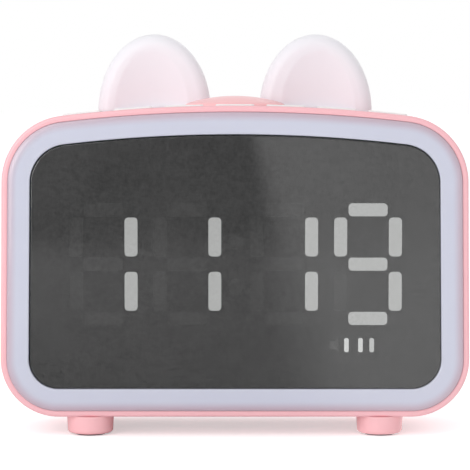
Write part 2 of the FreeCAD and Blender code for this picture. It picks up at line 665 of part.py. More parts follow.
def make_display_pieces():
    """Mirror, segment block with its windows, and the diffusers that fill them."""
    save("mirror_panel", slab(mirror_inset, mirror_front_y, mirror_back_y))
    lit = []
    dark = []
    lamps = []
    half_x = DIGIT_PITCH_X / 2
    row = DIGIT_ROW_PITCH
    spots = {
        "top": (0, row, False),
        "upper_right": (half_x, row / 2, True),
        "lower_right": (half_x, -row / 2, True),
        "bottom": (0, -row, False),
        "lower_left": (-half_x, -row / 2, True),
        "upper_left": (-half_x, row / 2, True),
        "middle": (0, 0, False),
    }
    one = ("upper_right", "lower_right")
    nine = ("top", "upper_right", "lower_right", "bottom", "upper_left", "middle")
    windows = []
    for centre_x, shown in zip(DIGIT_CENTRES, (one, one, one, nine)):
        for name, (dx, dz, upright) in spots.items():
            x = centre_x + dx
            z = DIGIT_MIDDLE_Z + dz
            width = SEGMENT_WIDTH if upright else SEGMENT_LENGTH
            height = SEGMENT_LENGTH if upright else SEGMENT_WIDTH
            bar = window_bar(x, z, width, height, 0, SEGMENT_ROUND)
            windows.append(window_bar(x, z, width, height, WINDOW_FIT, SEGMENT_ROUND))
            (lit if name in shown else dark).append(bar)
            lamps.append((x, z))
    for dz in (-COLON_SPREAD / 2, COLON_SPREAD / 2):
        z = DIGIT_MIDDLE_Z + dz
        radius = COLON_DIAMETER / 2
        dark.append(rod_y(COLON_X, z, radius, mirror_back_y, mirror_back_y + DIFFUSER_DEPTH))
        windows.append(rod_y(COLON_X, z, radius + WINDOW_FIT, mirror_back_y - 1, board_front_y + 1))
        lamps.append((COLON_X, z))
    bars = []
    for x in BAR_CENTRES:
        bars.append(window_bar(x, BAR_Z, BAR_WIDTH, BAR_HEIGHT, 0, BAR_WIDTH * 0.3))
        windows.append(window_bar(x, BAR_Z, BAR_WIDTH, BAR_HEIGHT, WINDOW_FIT, BAR_WIDTH * 0.3))
    icon = icon_prism(0)
    icon_window = icon_prism(WINDOW_FIT)
    windows.append(icon_window)
    block = slab(mirror_inset, mirror_back_y, board_front_y)
    windows += [rod_y(x, z, SMALL_SCREW_RADIUS + SCREW_FIT, board_back_y - SMALL_SCREW_LENGTH - TIP_ROOM,
                      board_front_y + 1) for x, z in display_screw_places]
    save("display_reflector", block.cut(windows))
    save("lit_segments", lit)
    save("unlit_segments", dark)
    save("volume_bars", bars)
    save("speaker_icon", icon)
    lamps.append((ICON_X, BAR_Z))
    halves = [(LED_SIZE / 2, LED_SIZE * 0.4)] * len(lamps)
    lamps += [(x, BAR_Z) for x in BAR_CENTRES]
    halves += [(BAR_WIDTH * 0.4, LED_SIZE / 2)] * len(BAR_CENTRES)
    face_y = board_front_y - LED_HEIGHT
    chips = [box(x - half_x, x + half_x, face_y, board_front_y, z - half_z, z + half_z)
             for (x, z), (half_x, half_z) in zip(lamps, halves)]
    save("display_leds", chips)


def window_bar(x, z, width, height, fit, corner):
    """A segment's diffuser, or with a fit the window that it sits in, which runs right through."""
    back = board_front_y + 1 if fit else mirror_back_y + DIFFUSER_DEPTH
    front = mirror_back_y - 1 if fit else mirror_back_y
    half_x = width / 2 + fit
    half_z = height / 2 + fit
    bar = box(x - half_x, x + half_x, front, back, z - half_z, z + half_z)
    return round_edges(bar, corner + fit, is_deep)


def icon_prism(fit):
    """Plain speaker sign: a small box with a flared horn."""
    back = board_front_y + 1 if fit else mirror_back_y + DIFFUSER_DEPTH
    front = mirror_back_y - 1 if fit else mirror_back_y
    half = BAR_HEIGHT / 2 + fit
    neck = BAR_HEIGHT / 4 + fit
    left = ICON_X - BAR_HEIGHT * 0.3 - fit
    waist = ICON_X - BAR_HEIGHT * 0.05
    right = ICON_X + BAR_HEIGHT * 0.3 + fit
    corners = [(left, -neck), (waist, -neck), (right, -half), (right, half), (waist, neck), (left, neck)]
    points = [Vector(x, front, BAR_Z + z) for x, z in corners]
    face = Part.Face(Part.makePolygon(points + points[:1]))
    return face.extrude(Vector(0, back - front, 0))


def make_boards():
    """Display board, ring board and their lamps and screws."""
    board = slab(WALL + LEDGE_WIDTH + PLATE_FIT, board_front_y, board_back_y)
    notches = [rod_y(x, z, BOSS_RADIUS + PLATE_FIT, front_y, back_y) for x, z in corner_places]
    holes = [rod_y(x, z, SMALL_SCREW_RADIUS + SCREW_FIT, front_y, back_y) for x, z in display_screw_places]
    save("display_board", board.cut(notches + holes))
    seats = [Vector(x, board_back_y, z) for x, z in display_screw_places]
    save("display_screws", [small_screw(seat, -ALONG_Y) for seat in seats])
    inner = mirror_inset - MIRROR_GAP
    ring_board = frame_ring(ring_inset + RING_FIT, inner, ring_board_y, board_front_y)
    holes = [rod_y(x, z, SMALL_SCREW_RADIUS + SCREW_FIT, front_y, back_y) for x, z in corner_places]
    save("ring_board", ring_board.cut(holes))
    save("ring_board_screws", [small_screw(Vector(x, ring_board_y, z), ALONG_Y) for x, z in corner_places])
    lamp_inset = ring_inset + RING_WIDTH / 2
    path = body_outline(lamp_inset, ring_board_y)
    lamps = []
    half = LED_SIZE / 2
    for point in path.discretize(Number=RING_LED_COUNT + 1)[:-1]:
        near = min(math.hypot(point.x - x, point.z - z) for x, z in corner_places)
        if near > SMALL_HEAD_RADIUS + LED_SIZE:
            lamps.append(box(point.x - half, point.x + half, ring_board_y - LED_HEIGHT, ring_board_y,
                             point.z - half, point.z + half))
    save("ring_leds", lamps)


def arch_slab(x0, x1, y0, y1, top_inset, bottom_inset):
    """Piece whose top and bottom follow the arched top of the body."""
    middle = (x0 + x1) / 2
    top = [Vector(x, y0, top_z(x, top_inset)) for x in (x0, middle, x1)]
    bottom = [Vector(x, y0, top_z(x, bottom_inset)) for x in (x0, middle, x1)]
    wire = Part.Wire([
        Part.Arc(*bottom).toShape(),
        Part.LineSegment(bottom[2], top[2]).toShape(),
        Part.Arc(top[2], top[1], top[0]).toShape(),
        Part.LineSegment(top[0], bottom[0]).toShape(),
    ])
    return Part.Face(wire).extrude(Vector(0, y1 - y0, 0))


def make_key(x):
    """Key cap with its lip under the wall and the stem that works the switch."""
    half_x = KEY_WIDTH / 2
    half_y = KEY_DEPTH / 2
    cap = arch_slab(x - half_x, x + half_x, key_y - half_y, key_y + half_y, -KEY_PROUD, lip_bottom_inset)
    cap = round_edges(cap, KEY_ROUND, is_upright)
    crest = top_z(abs(x) + half_x, -KEY_PROUD) - 0.01
    cap = round_edges(cap, KEY_PROUD * 0.8, lambda edge: edge.BoundBox.ZMin > crest)
    lip = arch_slab(x - half_x - KEY_LIP, x + half_x + KEY_LIP, key_y - half_y - KEY_LIP,
                    key_y + half_y + KEY_LIP, lip_top_inset, lip_bottom_inset)
    stem = rod_z(x, key_y, KEY_STEM_DIAMETER / 2, key_stem_bottom, top_z(x, lip_top_inset))
    return join([cap, lip, stem])


def make_key_board():
    """Board under the top wall with its press switches."""
    board = box(-key_board_half, key_board_half, key_board_front_y, key_board_back_y, key_board_bottom,
                key_board_top)
    board = round_edges(board, KEY_BOARD_ROUND, is_upright)
    holes = [rod_z(x, y, SMALL_SCREW_RADIUS + SCREW_FIT, floor_z, BODY_TOP_Z) for x, y in key_post_places]
    save("key_board", board.cut(holes))
    seats = [Vector(x, y, key_board_bottom) for x, y in key_post_places]
    save("key_board_screws", [small_screw(seat, ALONG_Z) for seat in seats])
    switches = [press_switch(x, key_y, KEY_SWITCH_SIZE, key_switch_top, key_stem_bottom,
                             KEY_STEM_DIAMETER, KEY_TRAVEL) for x in key_centres]
    save("key_switches", switches)
    save("snooze_switch", press_switch(0, snooze_y, SNOOZE_SWITCH_SIZE, snooze_switch_top,
                                       snooze_stem_bottom, SNOOZE_STEM_DIAMETER, SNOOZE_TRAVEL))


def press_switch(x, y, size, top, stem_bottom, stem_diameter, travel):
    """Square switch body with a round well that the button's stem moves in."""
    half = size / 2
    body = box(x - half, x + half, y - half, y + half, key_board_top, top)
    body = round_edges(body, 0.6, is_upright)
    well = rod_z(x, y, stem_diameter / 2 + BUTTON_FIT, stem_bottom - travel - PRESS_ROOM, top + 1)
    return body.cut(well)


def make_snooze():
    """Crowned oval button: a turned shape with a thin wall, a lip and a stem, drawn out sideways."""
    radius = SNOOZE_DEPTH / 2
    stretch = SNOOZE_WIDTH / SNOOZE_DEPTH
    inner = radius - SNOOZE_WALL
    stem = SNOOZE_STEM_DIAMETER / 2 / stretch
    top = BODY_TOP_Z + SNOOZE_PROUD
    edge_z = top - SNOOZE_CROWN_DROP
    lip_top = top_z(SNOOZE_WIDTH / 2 + KEY_LIP, WALL + LIP_GAP)
    lip_bottom = lip_top - LIP_THICKNESS
    lip = radius + KEY_LIP / stretch
    crown = crown_arc(CROWN_FLAT, radius, top, SNOOZE_CROWN_DROP)
    under = crown_arc(stem, inner, top - SNOOZE_WALL, SNOOZE_CROWN_DROP)
    corners = [(radius, edge_z), (radius, lip_top), (lip, lip_top), (lip, lip_bottom), (inner, lip_bottom),
               (inner, under[2].z)]
    walls = [Vector(r, 0, z) for r, z in corners]
    inside = [under[0], Vector(stem, 0, snooze_stem_bottom), Vector(0, 0, snooze_stem_bottom),
              Vector(0, 0, crown[0].z), crown[0]]
    edges = [Part.Arc(*crown).toShape()]
    edges += [Part.LineSegment(p, q).toShape() for p, q in zip(walls, walls[1:])]
    edges.append(Part.Arc(*under).toShape())
    edges += [Part.LineSegment(p, q).toShape() for p, q in zip(inside, inside[1:])]
    face = Part.Face(Part.Wire(Part.__sortEdges__(edges)))
    turned = face.revolve(Vector(0, 0, 0), ALONG_Z, 360)

    def crown_edge(edge):
        room = edge.BoundBox
        return room.ZLength < 1e-4 and abs(room.ZMin - edge_z) < 1e-3

    turned = round_edges(turned, SNOOZE_ROUND, crown_edge)
    widen = FreeCAD.Matrix()
    widen.scale(stretch, 1, 1)
    button = turned.transformGeometry(widen)
    button.translate(Vector(0, snooze_y, 0))
    return button


def crown_arc(r0, r1, top, drop):
    """Three points of a shallow crown that falls by drop over the button's radius."""
    radius = SNOOZE_DEPTH / 2
    bend = (radius ** 2 + drop ** 2) / (2 * drop)
    middle = (r0 + r1) / 2
    return [Vector(r, 0, top - bend + math.sqrt(bend ** 2 - r ** 2)) for r in (r0, middle, r1)]


def half_ellipse(x, half_width, height, base_z, low_z, y):
    """Upright rounded arch: half an ellipse on two straight legs."""
    middle = Vector(x, y, base_z)
    side_point = Vector(x + half_width, y, base_z)
    top_point = Vector(x, y, base_z + height)
    if half_width >= height:
        arch = Part.Ellipse(side_point, top_point, middle).toShape(0, math.pi)
    else:
        arch = Part.Ellipse(top_point, side_point, middle).toShape(-math.pi / 2, math.pi / 2)
    left = Vector(x - half_width, y, low_z)
    right = Vector(x + half_width, y, low_z)
    edges = [
        arch,
        Part.LineSegment(Vector(x - half_width, y, base_z), left).toShape(),
        Part.LineSegment(left, right).toShape(),
        Part.LineSegment(right, Vector(x + half_width, y, base_z)).toShape(),
    ]
    return Part.Face(Part.Wire(Part.__sortEdges__(edges)))


def make_ear():
    """The right ear: hollow, with a scooped front, open below for its lamps."""
    x = EAR_X
    base_z = EAR_TOP_Z - EAR_CROWN
    half = EAR_WIDTH / 2
    low = ear_flange_bottom
    ear = half_ellipse(x, half, EAR_CROWN, base_z, low, ear_front_y).extrude(Vector(0, EAR_THICKNESS, 0))

    def outer_edge(edge):
        flat = lies_at_y(ear_front_y)(edge) or lies_at_y(ear_back_y)(edge)
        return flat and edge.BoundBox.ZMax > low + 1e-3

    ear = round_edges(ear, EAR_ROUND, outer_edge)
    scoop_low = arch_z(EAR_X, 0) + PLATE_FIT
    scoop_height = EAR_TOP_Z - SCOOP_TOP_DROP - base_z
    scoop_face = half_ellipse(x, SCOOP_HALF_WIDTH, scoop_height, base_z, low, ear_front_y - 2)
    scoop = scoop_face.extrude(Vector(0, 2 + SCOOP_DEPTH, 0))
    scoop = scoop.common(box(x - half, x + half, ear_front_y - 2, ear_back_y, scoop_low, EAR_TOP_Z))
    scoop = round_edges(scoop, SCOOP_ROUND, lies_at_y(ear_front_y + SCOOP_DEPTH))
    ear = ear.cut(scoop)
    hollow_y = ear_front_y + SCOOP_DEPTH + EAR_WALL
    hollow_inset = EAR_WALL + EAR_HOLLOW_ROOM
    hollow_face = half_ellipse(x, half - hollow_inset, EAR_CROWN - hollow_inset, base_z, low - 1, hollow_y)
    hollow = hollow_face.extrude(Vector(0, ear_back_y - EAR_WALL - hollow_y, 0))
    reach = half + EAR_FLANGE
    flange = box(x - reach, x + reach, ear_front_y + EAR_ROUND, ear_back_y - EAR_ROUND, low, ear_flange_top)
    return join([ear, flange]).cut(hollow)


def make_ear_board():
    """One board that closes both ears from below and carries their lamps."""
    board = box(-ear_board_half, ear_board_half, ear_front_y + EAR_BOARD_INSET, ear_back_y - EAR_BOARD_INSET,
                ear_board_bottom, ear_flange_bottom)
    board = board.common(slab(WALL + PLATE_FIT, front_y, back_y))
    holes = [rod_z(x, ear_y, SMALL_SCREW_RADIUS + SCREW_FIT, floor_z, BODY_TOP_Z) for x in ear_post_places]
    save("ear_board", board.cut(holes))
    seats = [Vector(x, ear_y, ear_board_bottom) for x in ear_post_places]
    save("ear_board_screws", [small_screw(seat, ALONG_Z) for seat in seats])
    lamp_y = ear_front_y + SCOOP_DEPTH + EAR_WALL + LED_SIZE / 2 + EAR_LED_ROOM
    half_led = LED_SIZE / 2
    lamps = []
    for side in (-1, 1):
        for i in (-1, 0, 1):
            x = side * EAR_X + i * EAR_LED_PITCH
            lamps.append(box(x - half_led, x + half_led, lamp_y - half_led, lamp_y + half_led,
                             ear_flange_bottom, ear_flange_bottom + LED_HEIGHT))
    save("ear_leds", lamps)


def make_feet():
    """Four tapered feet, each held by a screw under its soft pad."""
    radius = FOOT_DIAMETER / 2
    pad_top = PAD_THICKNESS
    feet = []
    pads = []
    screws = []
    for x, y in foot_places:
        foot = Part.makeCone(radius - FOOT_TAPER, radius, FOOT_HEIGHT - PAD_PROUD, Vector(x, y, PAD_PROUD))
        foot = round_edges(foot, FOOT_ROUND, lambda edge: edge.BoundBox.ZMax < PAD_PROUD + 1e-3)
        foot = foot.cut(rod_z(x, y, PAD_DIAMETER / 2 + WINDOW_FIT, 0, pad_top))
        foot = foot.cut(rod_z(x, y, CASE_HEAD_RADIUS + PLATE_FIT / 2, 0, foot_screw_seat_z))
        foot = foot.cut(rod_z(x, y, CASE_SCREW_RADIUS + SCREW_FIT, 0, FOOT_HEIGHT + 1))
        feet.append(foot)
        pads.append(rod_z(x, y, PAD_DIAMETER / 2, 0, pad_top))
        screws.append(screw(Vector(x, y, foot_screw_seat_z), ALONG_Z, foot_screw_length, CASE_SCREW_RADIUS,
                            CASE_HEAD_RADIUS, CASE_HEAD_HEIGHT))
    save("feet", feet)
    save("foot_pads", pads)
    save("foot_screws", screws)


def make_main_board():
    """Main board with its chips, sockets, charging port and power switch."""
    x0 = MAIN_BOARD_X - MAIN_BOARD_WIDTH / 2
    z0 = MAIN_BOARD_Z - MAIN_BOARD_HEIGHT / 2
    board = box(x0, x0 + MAIN_BOARD_WIDTH, main_board_front_y, main_board_back_y, z0, z0 + MAIN_BOARD_HEIGHT)
    board = round_edges(board, MAIN_BOARD_ROUND, is_deep)
    holes = [rod_y(x, z, SMALL_SCREW_RADIUS + SCREW_FIT, front_y, back_y) for x, z in main_board_places]
    save("main_board", board.cut(holes))
    seats = [Vector(x, main_board_front_y, z) for x, z in main_board_places]
    save("main_board_screws", [small_screw(seat, ALONG_Y) for seat in seats])
    y = main_board_front_y
    chips = []
    for dx, dz, width, height, thickness in zip(CHIP_LEFTS, CHIP_BOTTOMS, CHIP_WIDTHS, CHIP_HEIGHTS,
                                                CHIP_THICKNESSES):
        left = MAIN_BOARD_X + dx
        bottom = MAIN_BOARD_Z + dz
        chips.append(box(left, left + width, y - thickness, y, bottom, bottom + height))
    save("chips", chips)
    cans = [rod_y(MAIN_BOARD_X + dx, MAIN_BOARD_Z + CAN_RISE, CAN_DIAMETER / 2, y - CAN_HEIGHT, y)
            for dx in CAN_PLACES]
    save("capacitors", cans)
    plugs = [box(MAIN_BOARD_X + dx, MAIN_BOARD_X + dx + SOCKET_WIDTH, y - SOCKET_DEPTH, y, socket_z,
                 socket_z + SOCKET_HEIGHT) for dx in SOCKET_LEFTS]
    save("wire_sockets", plugs)
    half_x = USB_WIDTH / 2
    half_z = USB_HEIGHT / 2
    bore_y = back_y - USB_BORE_DEPTH
    body = box(USB_X - half_x, USB_X + half_x, main_board_back_y, back_y - PORT_SINK,
               PORT_ROW_Z - half_z, PORT_ROW_Z + half_z)
    body = round_edges(body, half_z - 0.15, is_deep)
    bore_x = half_x - USB_SHELL
    bore_z = half_z - USB_SHELL
    inner = box(USB_X - bore_x, USB_X + bore_x, bore_y, back_y + 1, PORT_ROW_Z - bore_z, PORT_ROW_Z + bore_z)
    inner = round_edges(inner, bore_z - 0.15, is_deep)
    tongue = box(USB_X - USB_TONGUE_WIDTH / 2, USB_X + USB_TONGUE_WIDTH / 2, bore_y - JOINT_DEPTH,
                 back_y - USB_TONGUE_SINK, PORT_ROW_Z - USB_TONGUE_THICKNESS / 2,
                 PORT_ROW_Z + USB_TONGUE_THICKNESS / 2)
    save("usb_port", join([body.cut(inner), tongue]))
    save("power_switch", make_power_switch())
    save("switch_knob", make_switch_knob())


def make_power_switch():
    """Slide switch body with the slot that its knob runs in."""
    half_x = SWITCH_WIDTH / 2
    half_z = SWITCH_HEIGHT / 2
    body = box(SWITCH_X - half_x, SWITCH_X + half_x + SWITCH_TRAVEL, main_board_back_y, switch_body_top_y,
               PORT_ROW_Z - half_z, PORT_ROW_Z + half_z)
    run_x = KNOB_WIDTH / 2 + KNOB_FIT
    run_z = KNOB_HEIGHT / 2 + KNOB_FIT
    slot = box(SWITCH_X - run_x, SWITCH_X + run_x + SWITCH_TRAVEL, switch_body_top_y - SWITCH_SLOT_DEPTH,
               switch_body_top_y + 1, PORT_ROW_Z - run_z, PORT_ROW_Z + run_z)
    return body.cut(slot)


def make_switch_knob():
    half_x = KNOB_WIDTH / 2
    half_z = KNOB_HEIGHT / 2
    foot_y = switch_body_top_y - SWITCH_SLOT_DEPTH + KNOB_FIT
    knob = box(SWITCH_X - half_x, SWITCH_X + half_x, foot_y, knob_tip_y, PORT_ROW_Z - half_z,
               PORT_ROW_Z + half_z)
    return round_edges(knob, KNOB_ROUND, lies_at_y(knob_tip_y))


def revolved(points, x, z):
    """Solid turned about an axis along Y from (radius, y) corners."""
    corners = [Vector(x + radius, y, z) for radius, y in points]
    face = Part.Face(Part.makePolygon(corners + corners[:1]))
    return face.revolve(Vector(x, 0, z), ALONG_Y, 360)


def make_speaker():
    """Round speaker: gasket, basket, cone and magnet, facing the grille."""
    radius = SPEAKER_DIAMETER / 2
    inner = radius - SPEAKER_RIM
    magnet = MAGNET_DIAMETER / 2
    flange = gasket_y - FLANGE_THICKNESS
    neck = gasket_y - SPEAKER_DEPTH / 2
    neck_back = neck - BASKET_THICKNESS
    ring = rod_y(SPEAKER_X, SPEAKER_Z, radius, gasket_y, cover_inner_y)
    save("speaker_gasket", ring.cut(rod_y(SPEAKER_X, SPEAKER_Z, inner, gasket_y - 1, cover_inner_y + 1)))
    basket = [(inner, gasket_y), (radius, gasket_y), (radius, flange), (inner + BASKET_WALL, flange),
              (magnet, neck_back), (0, neck_back), (0, neck), (magnet - BASKET_WALL, neck), (inner, flange)]
    save("speaker_basket", revolved(basket, SPEAKER_X, SPEAKER_Z))
    cone_edge = inner - CONE_GAP
    edge_back = flange + CONE_GAP
    cap = magnet / 2
    cap_back = neck + CONE_NECK_GAP
    tip_back = neck + CONE_CAP_RISE
    cone = [(cone_edge, edge_back), (cone_edge, edge_back + CONE_THICKNESS), (cap, cap_back + CONE_NECK_WALL),
            (0, tip_back + CONE_THICKNESS), (0, tip_back), (cap, cap_back)]
    save("speaker_cone", revolved(cone, SPEAKER_X, SPEAKER_Z))
    save("speaker_magnet", rod_y(SPEAKER_X, SPEAKER_Z, magnet, gasket_y - SPEAKER_DEPTH, neck_back))


def make_battery():
    """Round cell in a cradle screwed to two bosses on the floor."""
    radius = CELL_DIAMETER / 2
    half = CELL_LENGTH / 2
    cell = Part.makeCylinder(radius, CELL_LENGTH, Vector(-half, CELL_Y, cell_z), ALONG_X)
    nub = Part.makeCylinder(radius * 0.3, CELL_NUB, Vector(half, CELL_Y, cell_z), ALONG_X)
    save("battery_cell", join([cell, nub]))
    inner = radius + CELL_FIT
    outer = inner + CRADLE_WALL
    cradle = box(-cradle_half, cradle_half, CELL_Y - outer, CELL_Y + outer, floor_z, cell_z + radius * 0.4)
    end = half + CELL_FIT
    room = Part.makeCylinder(inner, 2 * end, Vector(-end, CELL_Y, cell_z), ALONG_X)
    above = box(-end, end, CELL_Y - inner, CELL_Y + inner, cell_z, cell_z + radius)
    cradle = cradle.cut([room, above])
    tab_x = cradle_half + CRADLE_TAB
    tab_top = cradle_tab_z + TAB_THICKNESS
    tab = box(-tab_x, tab_x, CELL_Y - CRADLE_TAB / 2, CELL_Y + CRADLE_TAB / 2, cradle_tab_z, tab_top)
    keep_x = cradle_half - JOINT_DEPTH
    keep = box(-keep_x, keep_x, CELL_Y - outer, CELL_Y + outer, floor_z, BODY_TOP_Z)
    cradle = join([cradle, tab.cut(keep)])
    screw_places = (-cradle_screw_x, cradle_screw_x)
    holes = [rod_z(x, CELL_Y, SMALL_SCREW_RADIUS + SCREW_FIT, floor_z, BODY_TOP_Z) for x in screw_places]
    save("battery_cradle", cradle.cut(holes))
    save("cradle_screws", [small_screw(Vector(x, CELL_Y, tab_top), -ALONG_Z) for x in screw_places])


def ribbon(x0, x1, start, middle, end):
    """Flat ribbon cable that bends along an arc between two boards, from (y, z) points."""
    top = [Vector(x0, y, z) for y, z in (start, middle, end)]
    drop = Vector(0, 0, -RIBBON_THICKNESS)
    bottom = [point + drop for point in top]
    wire = Part.Wire([
        Part.Arc(*top).toShape(),
        Part.LineSegment(top[2], bottom[2]).toShape(),
        Part.Arc(bottom[2], bottom[1], bottom[0]).toShape(),
        Part.LineSegment(bottom[0], top[0]).toShape(),
    ])
    return Part.Face(wire).extrude(Vector(x1 - x0, 0, 0))


def wire_path(points):
    """Straight runs joined by tangent arcs."""
    edges = []
    start = points[0]
    for before, corner, after in zip(points, points[1:], points[2:]):
        way_in = (corner - before).normalize()
        way_out = (after - corner).normalize()
        reach = 0.45 * min((corner - before).Length, (after - corner).Length)
        half_turn = way_in.getAngle(way_out) / 2
        bend = reach / math.tan(half_turn)
        inward = (way_out - way_in).normalize()
        arc_start = corner - way_in * reach
        arc_middle = corner + inward * (bend / math.cos(half_turn) - bend)
        arc_end = corner + way_out * reach
        edges.append(Part.LineSegment(start, arc_start).toShape())
        edges.append(Part.Arc(arc_start, arc_middle, arc_end).toShape())
        start = arc_end
    edges.append(Part.LineSegment(start, points[-1]).toShape())
    return Part.Wire(edges)


def lead(points):
    """Round insulated wire along a path."""
    path = wire_path(points)
    section = Part.Wire(Part.Circle(points[0], points[1] - points[0], WIRE_DIAMETER / 2).toShape())
    return path.makePipeShell([section], True, False)


def make_wiring():
    """Ribbons between the boards, and pairs of wires from the cell and the speaker."""
    x0 = MAIN_BOARD_X - MAIN_BOARD_WIDTH / 2 + STANDOFF_DIAMETER / 2
    z = MAIN_BOARD_Z + MAIN_BOARD_HEIGHT / 4
    middle_y = (board_back_y + main_board_front_y) / 2
    sag_point = (middle_y, z - DISPLAY_RIBBON_SAG)
    end_point = (main_board_front_y, z)
    save("display_ribbon", ribbon(x0, x0 + RIBBON_WIDTH, (board_back_y, z), sag_point, end_point))
    board_top = MAIN_BOARD_Z + MAIN_BOARD_HEIGHT / 2
    key_start_point = (snooze_y, key_board_bottom)
    key_end_point = (main_board_front_y, board_top - KEY_RIBBON_DROP)
    key_bend_point = (snooze_y + (main_board_front_y - snooze_y) * 0.25,
                      (key_board_bottom + board_top) / 2 - KEY_RIBBON_SAG)
    x0 = MAIN_BOARD_X + RIBBON_WIDTH
    save("key_ribbon", ribbon_down(x0, x0 + RIBBON_WIDTH, key_start_point, key_bend_point, key_end_point))
    middle = (main_board_front_y + main_board_back_y) / 2
    save("ear_ribbon", box(MAIN_BOARD_X - RIBBON_WIDTH * 2, MAIN_BOARD_X - RIBBON_WIDTH, middle,
                           middle + RIBBON_THICKNESS, board_top, ear_board_bottom))
    plug_y = main_board_front_y - SOCKET_DEPTH
    plug_z = socket_z + SOCKET_HEIGHT / 2
    cell_top = cell_z + CELL_DIAMETER / 2
    pairs = []
    for i in (-1, 1):
        x = MAIN_BOARD_X + SOCKET_LEFTS[2] + SOCKET_WIDTH / 2 + i * WIRE_DIAMETER
        route = [(x, CELL_Y, cell_top), (x, CELL_Y, plug_z), (x, plug_y, plug_z)]
        pairs.append(lead([Vector(*place) for place in route]))
    save("battery_wires", pairs)
    pairs = []
    for i in (-1, 1):
        x = MAIN_BOARD_X + SOCKET_LEFTS[0] + SOCKET_WIDTH / 2 + i * WIRE_DIAMETER
        start_x = SPEAKER_X + SPEAKER_DIAMETER / 2 - SPEAKER_WIRE_INSET
        start_z = SPEAKER_Z + i * WIRE_DIAMETER
        loop_y = plug_y - WIRE_LOOP
        route = [(start_x, gasket_y - FLANGE_THICKNESS, start_z), (start_x, loop_y, start_z),
                 (x, loop_y, plug_z), (x, plug_y, plug_z)]
        pairs.append(lead([Vector(*place) for place in route]))
    save("speaker_wires", pairs)


def ribbon_down(x0, x1, start, middle, end):
    """Ribbon that hangs from a board's underside to the face of an upright board."""
    inner = [Vector(x0, y, z) for y, z in (start, middle, end)]
    outer = [
        Vector(x0, start[0] - RIBBON_THICKNESS, start[1]),
        Vector(x0, middle[0] - RIBBON_THICKNESS, middle[1] - RIBBON_THICKNESS),
        Vector(x0, end[0], end[1] - RIBBON_THICKNESS),
    ]
    wire = Part.Wire([
        Part.Arc(*inner).toShape(),
        Part.LineSegment(inner[2], outer[2]).toShape(),
        Part.Arc(outer[2], outer[1], outer[0]).toShape(),
        Part.LineSegment(outer[0], inner[0]).toShape(),
    ])
    return Part.Face(wire).extrude(Vector(x1 - x0, 0, 0))


def main():
    os.makedirs("parts", exist_ok=True)
    save("front_shell", make_front_shell())
    save("rear_cover", make_rear_cover())
    save("light_ring", make_light_ring())
    make_display_pieces()
    make_boards()
    make_key_board()
    for number, x in enumerate(key_centres, 1):
        save(f"key_{number}", make_key(x))
    save("snooze_button", make_snooze())
    ear = make_ear()
    save("ear_right", ear)
    save("ear_left", ear.mirror(Vector(0, 0, 0), ALONG_X))
    make_ear_board()
    make_feet()
    make_main_board()
    make_speaker()
    make_battery()
    make_wiring()
    seats = [Vector(x, cover_screw_seat_y, z) for x, z in corner_places]
    save("cover_screws", [case_screw(seat, -ALONG_Y) for seat in seats])


main()
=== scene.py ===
import math

import bmesh
import bpy
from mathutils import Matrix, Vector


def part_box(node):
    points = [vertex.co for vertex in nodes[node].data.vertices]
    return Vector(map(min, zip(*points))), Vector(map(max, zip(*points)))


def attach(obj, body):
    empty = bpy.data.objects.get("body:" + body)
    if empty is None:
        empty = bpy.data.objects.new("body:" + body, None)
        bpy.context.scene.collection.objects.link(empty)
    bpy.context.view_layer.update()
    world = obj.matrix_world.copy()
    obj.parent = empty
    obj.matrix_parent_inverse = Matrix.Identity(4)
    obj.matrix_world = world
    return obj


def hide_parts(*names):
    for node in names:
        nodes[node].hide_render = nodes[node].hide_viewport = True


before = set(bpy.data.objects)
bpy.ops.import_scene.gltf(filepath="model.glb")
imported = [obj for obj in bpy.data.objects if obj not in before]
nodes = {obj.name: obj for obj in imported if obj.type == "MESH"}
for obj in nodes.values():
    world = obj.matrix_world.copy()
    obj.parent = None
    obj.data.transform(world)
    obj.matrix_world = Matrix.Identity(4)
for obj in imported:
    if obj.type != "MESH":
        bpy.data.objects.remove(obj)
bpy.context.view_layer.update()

# Front shell: a tub of glossy pink ABS, moulded in one piece with its thin round rim.
# Everything else is screwed or pressed into it, and its top wall has the holes of the keys,
# the snooze button and the ears.
shell_low, shell_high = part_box("front_shell")
BODY_TOP_HALF_WIDTH = 0.0744
TOP_ARC_RADIUS = 0.475
TOP_CORNER_RADIUS = 0.0215
BOTTOM_CORNER_RADIUS = 0.0185
SHELL_WALL = 0.002
RIM_ROUND = 0.0009
RIM_INNER_ROUND = 0.0003
PARTING_CHAMFER = 0.0003
BUTTON_FIT = 0.0003
EAR_FIT = 0.0002
EAR_FLANGE = 0.0015
EAR_ROUND = 0.004
KEY_LIP = 0.0008
KEY_ROUND = 0.0012
SNOOZE_HALF_WIDTH = 0.0165
SNOOZE_HALF_DEPTH = 0.009
HOLE_ABOVE = 0.001
HOLE_BELOW = 0.011

# How finely round stretches are drawn, and from which angle on an edge stays sharp
CORNER_STEPS = 24
ARCH_STEPS = 18
BOX_CORNER_STEPS = 6
ROD_SIDES = 32
OVAL_SIDES = 96
SHARP_EDGE = math.radians(40)
SMOOTH_ANGLE = math.radians(35)

# Places that are nearer to each other than this are one place
TOUCH = 0.00001

bottom_corner_x = shell_high.x - BOTTOM_CORNER_RADIUS
bottom_corner_z = shell_low.z + BOTTOM_CORNER_RADIUS
top_corner_x = BODY_TOP_HALF_WIDTH - TOP_CORNER_RADIUS
top_arc_z = shell_high.z - TOP_ARC_RADIUS
top_corner_z = top_arc_z + math.sqrt((TOP_ARC_RADIUS - TOP_CORNER_RADIUS) ** 2 - top_corner_x ** 2)

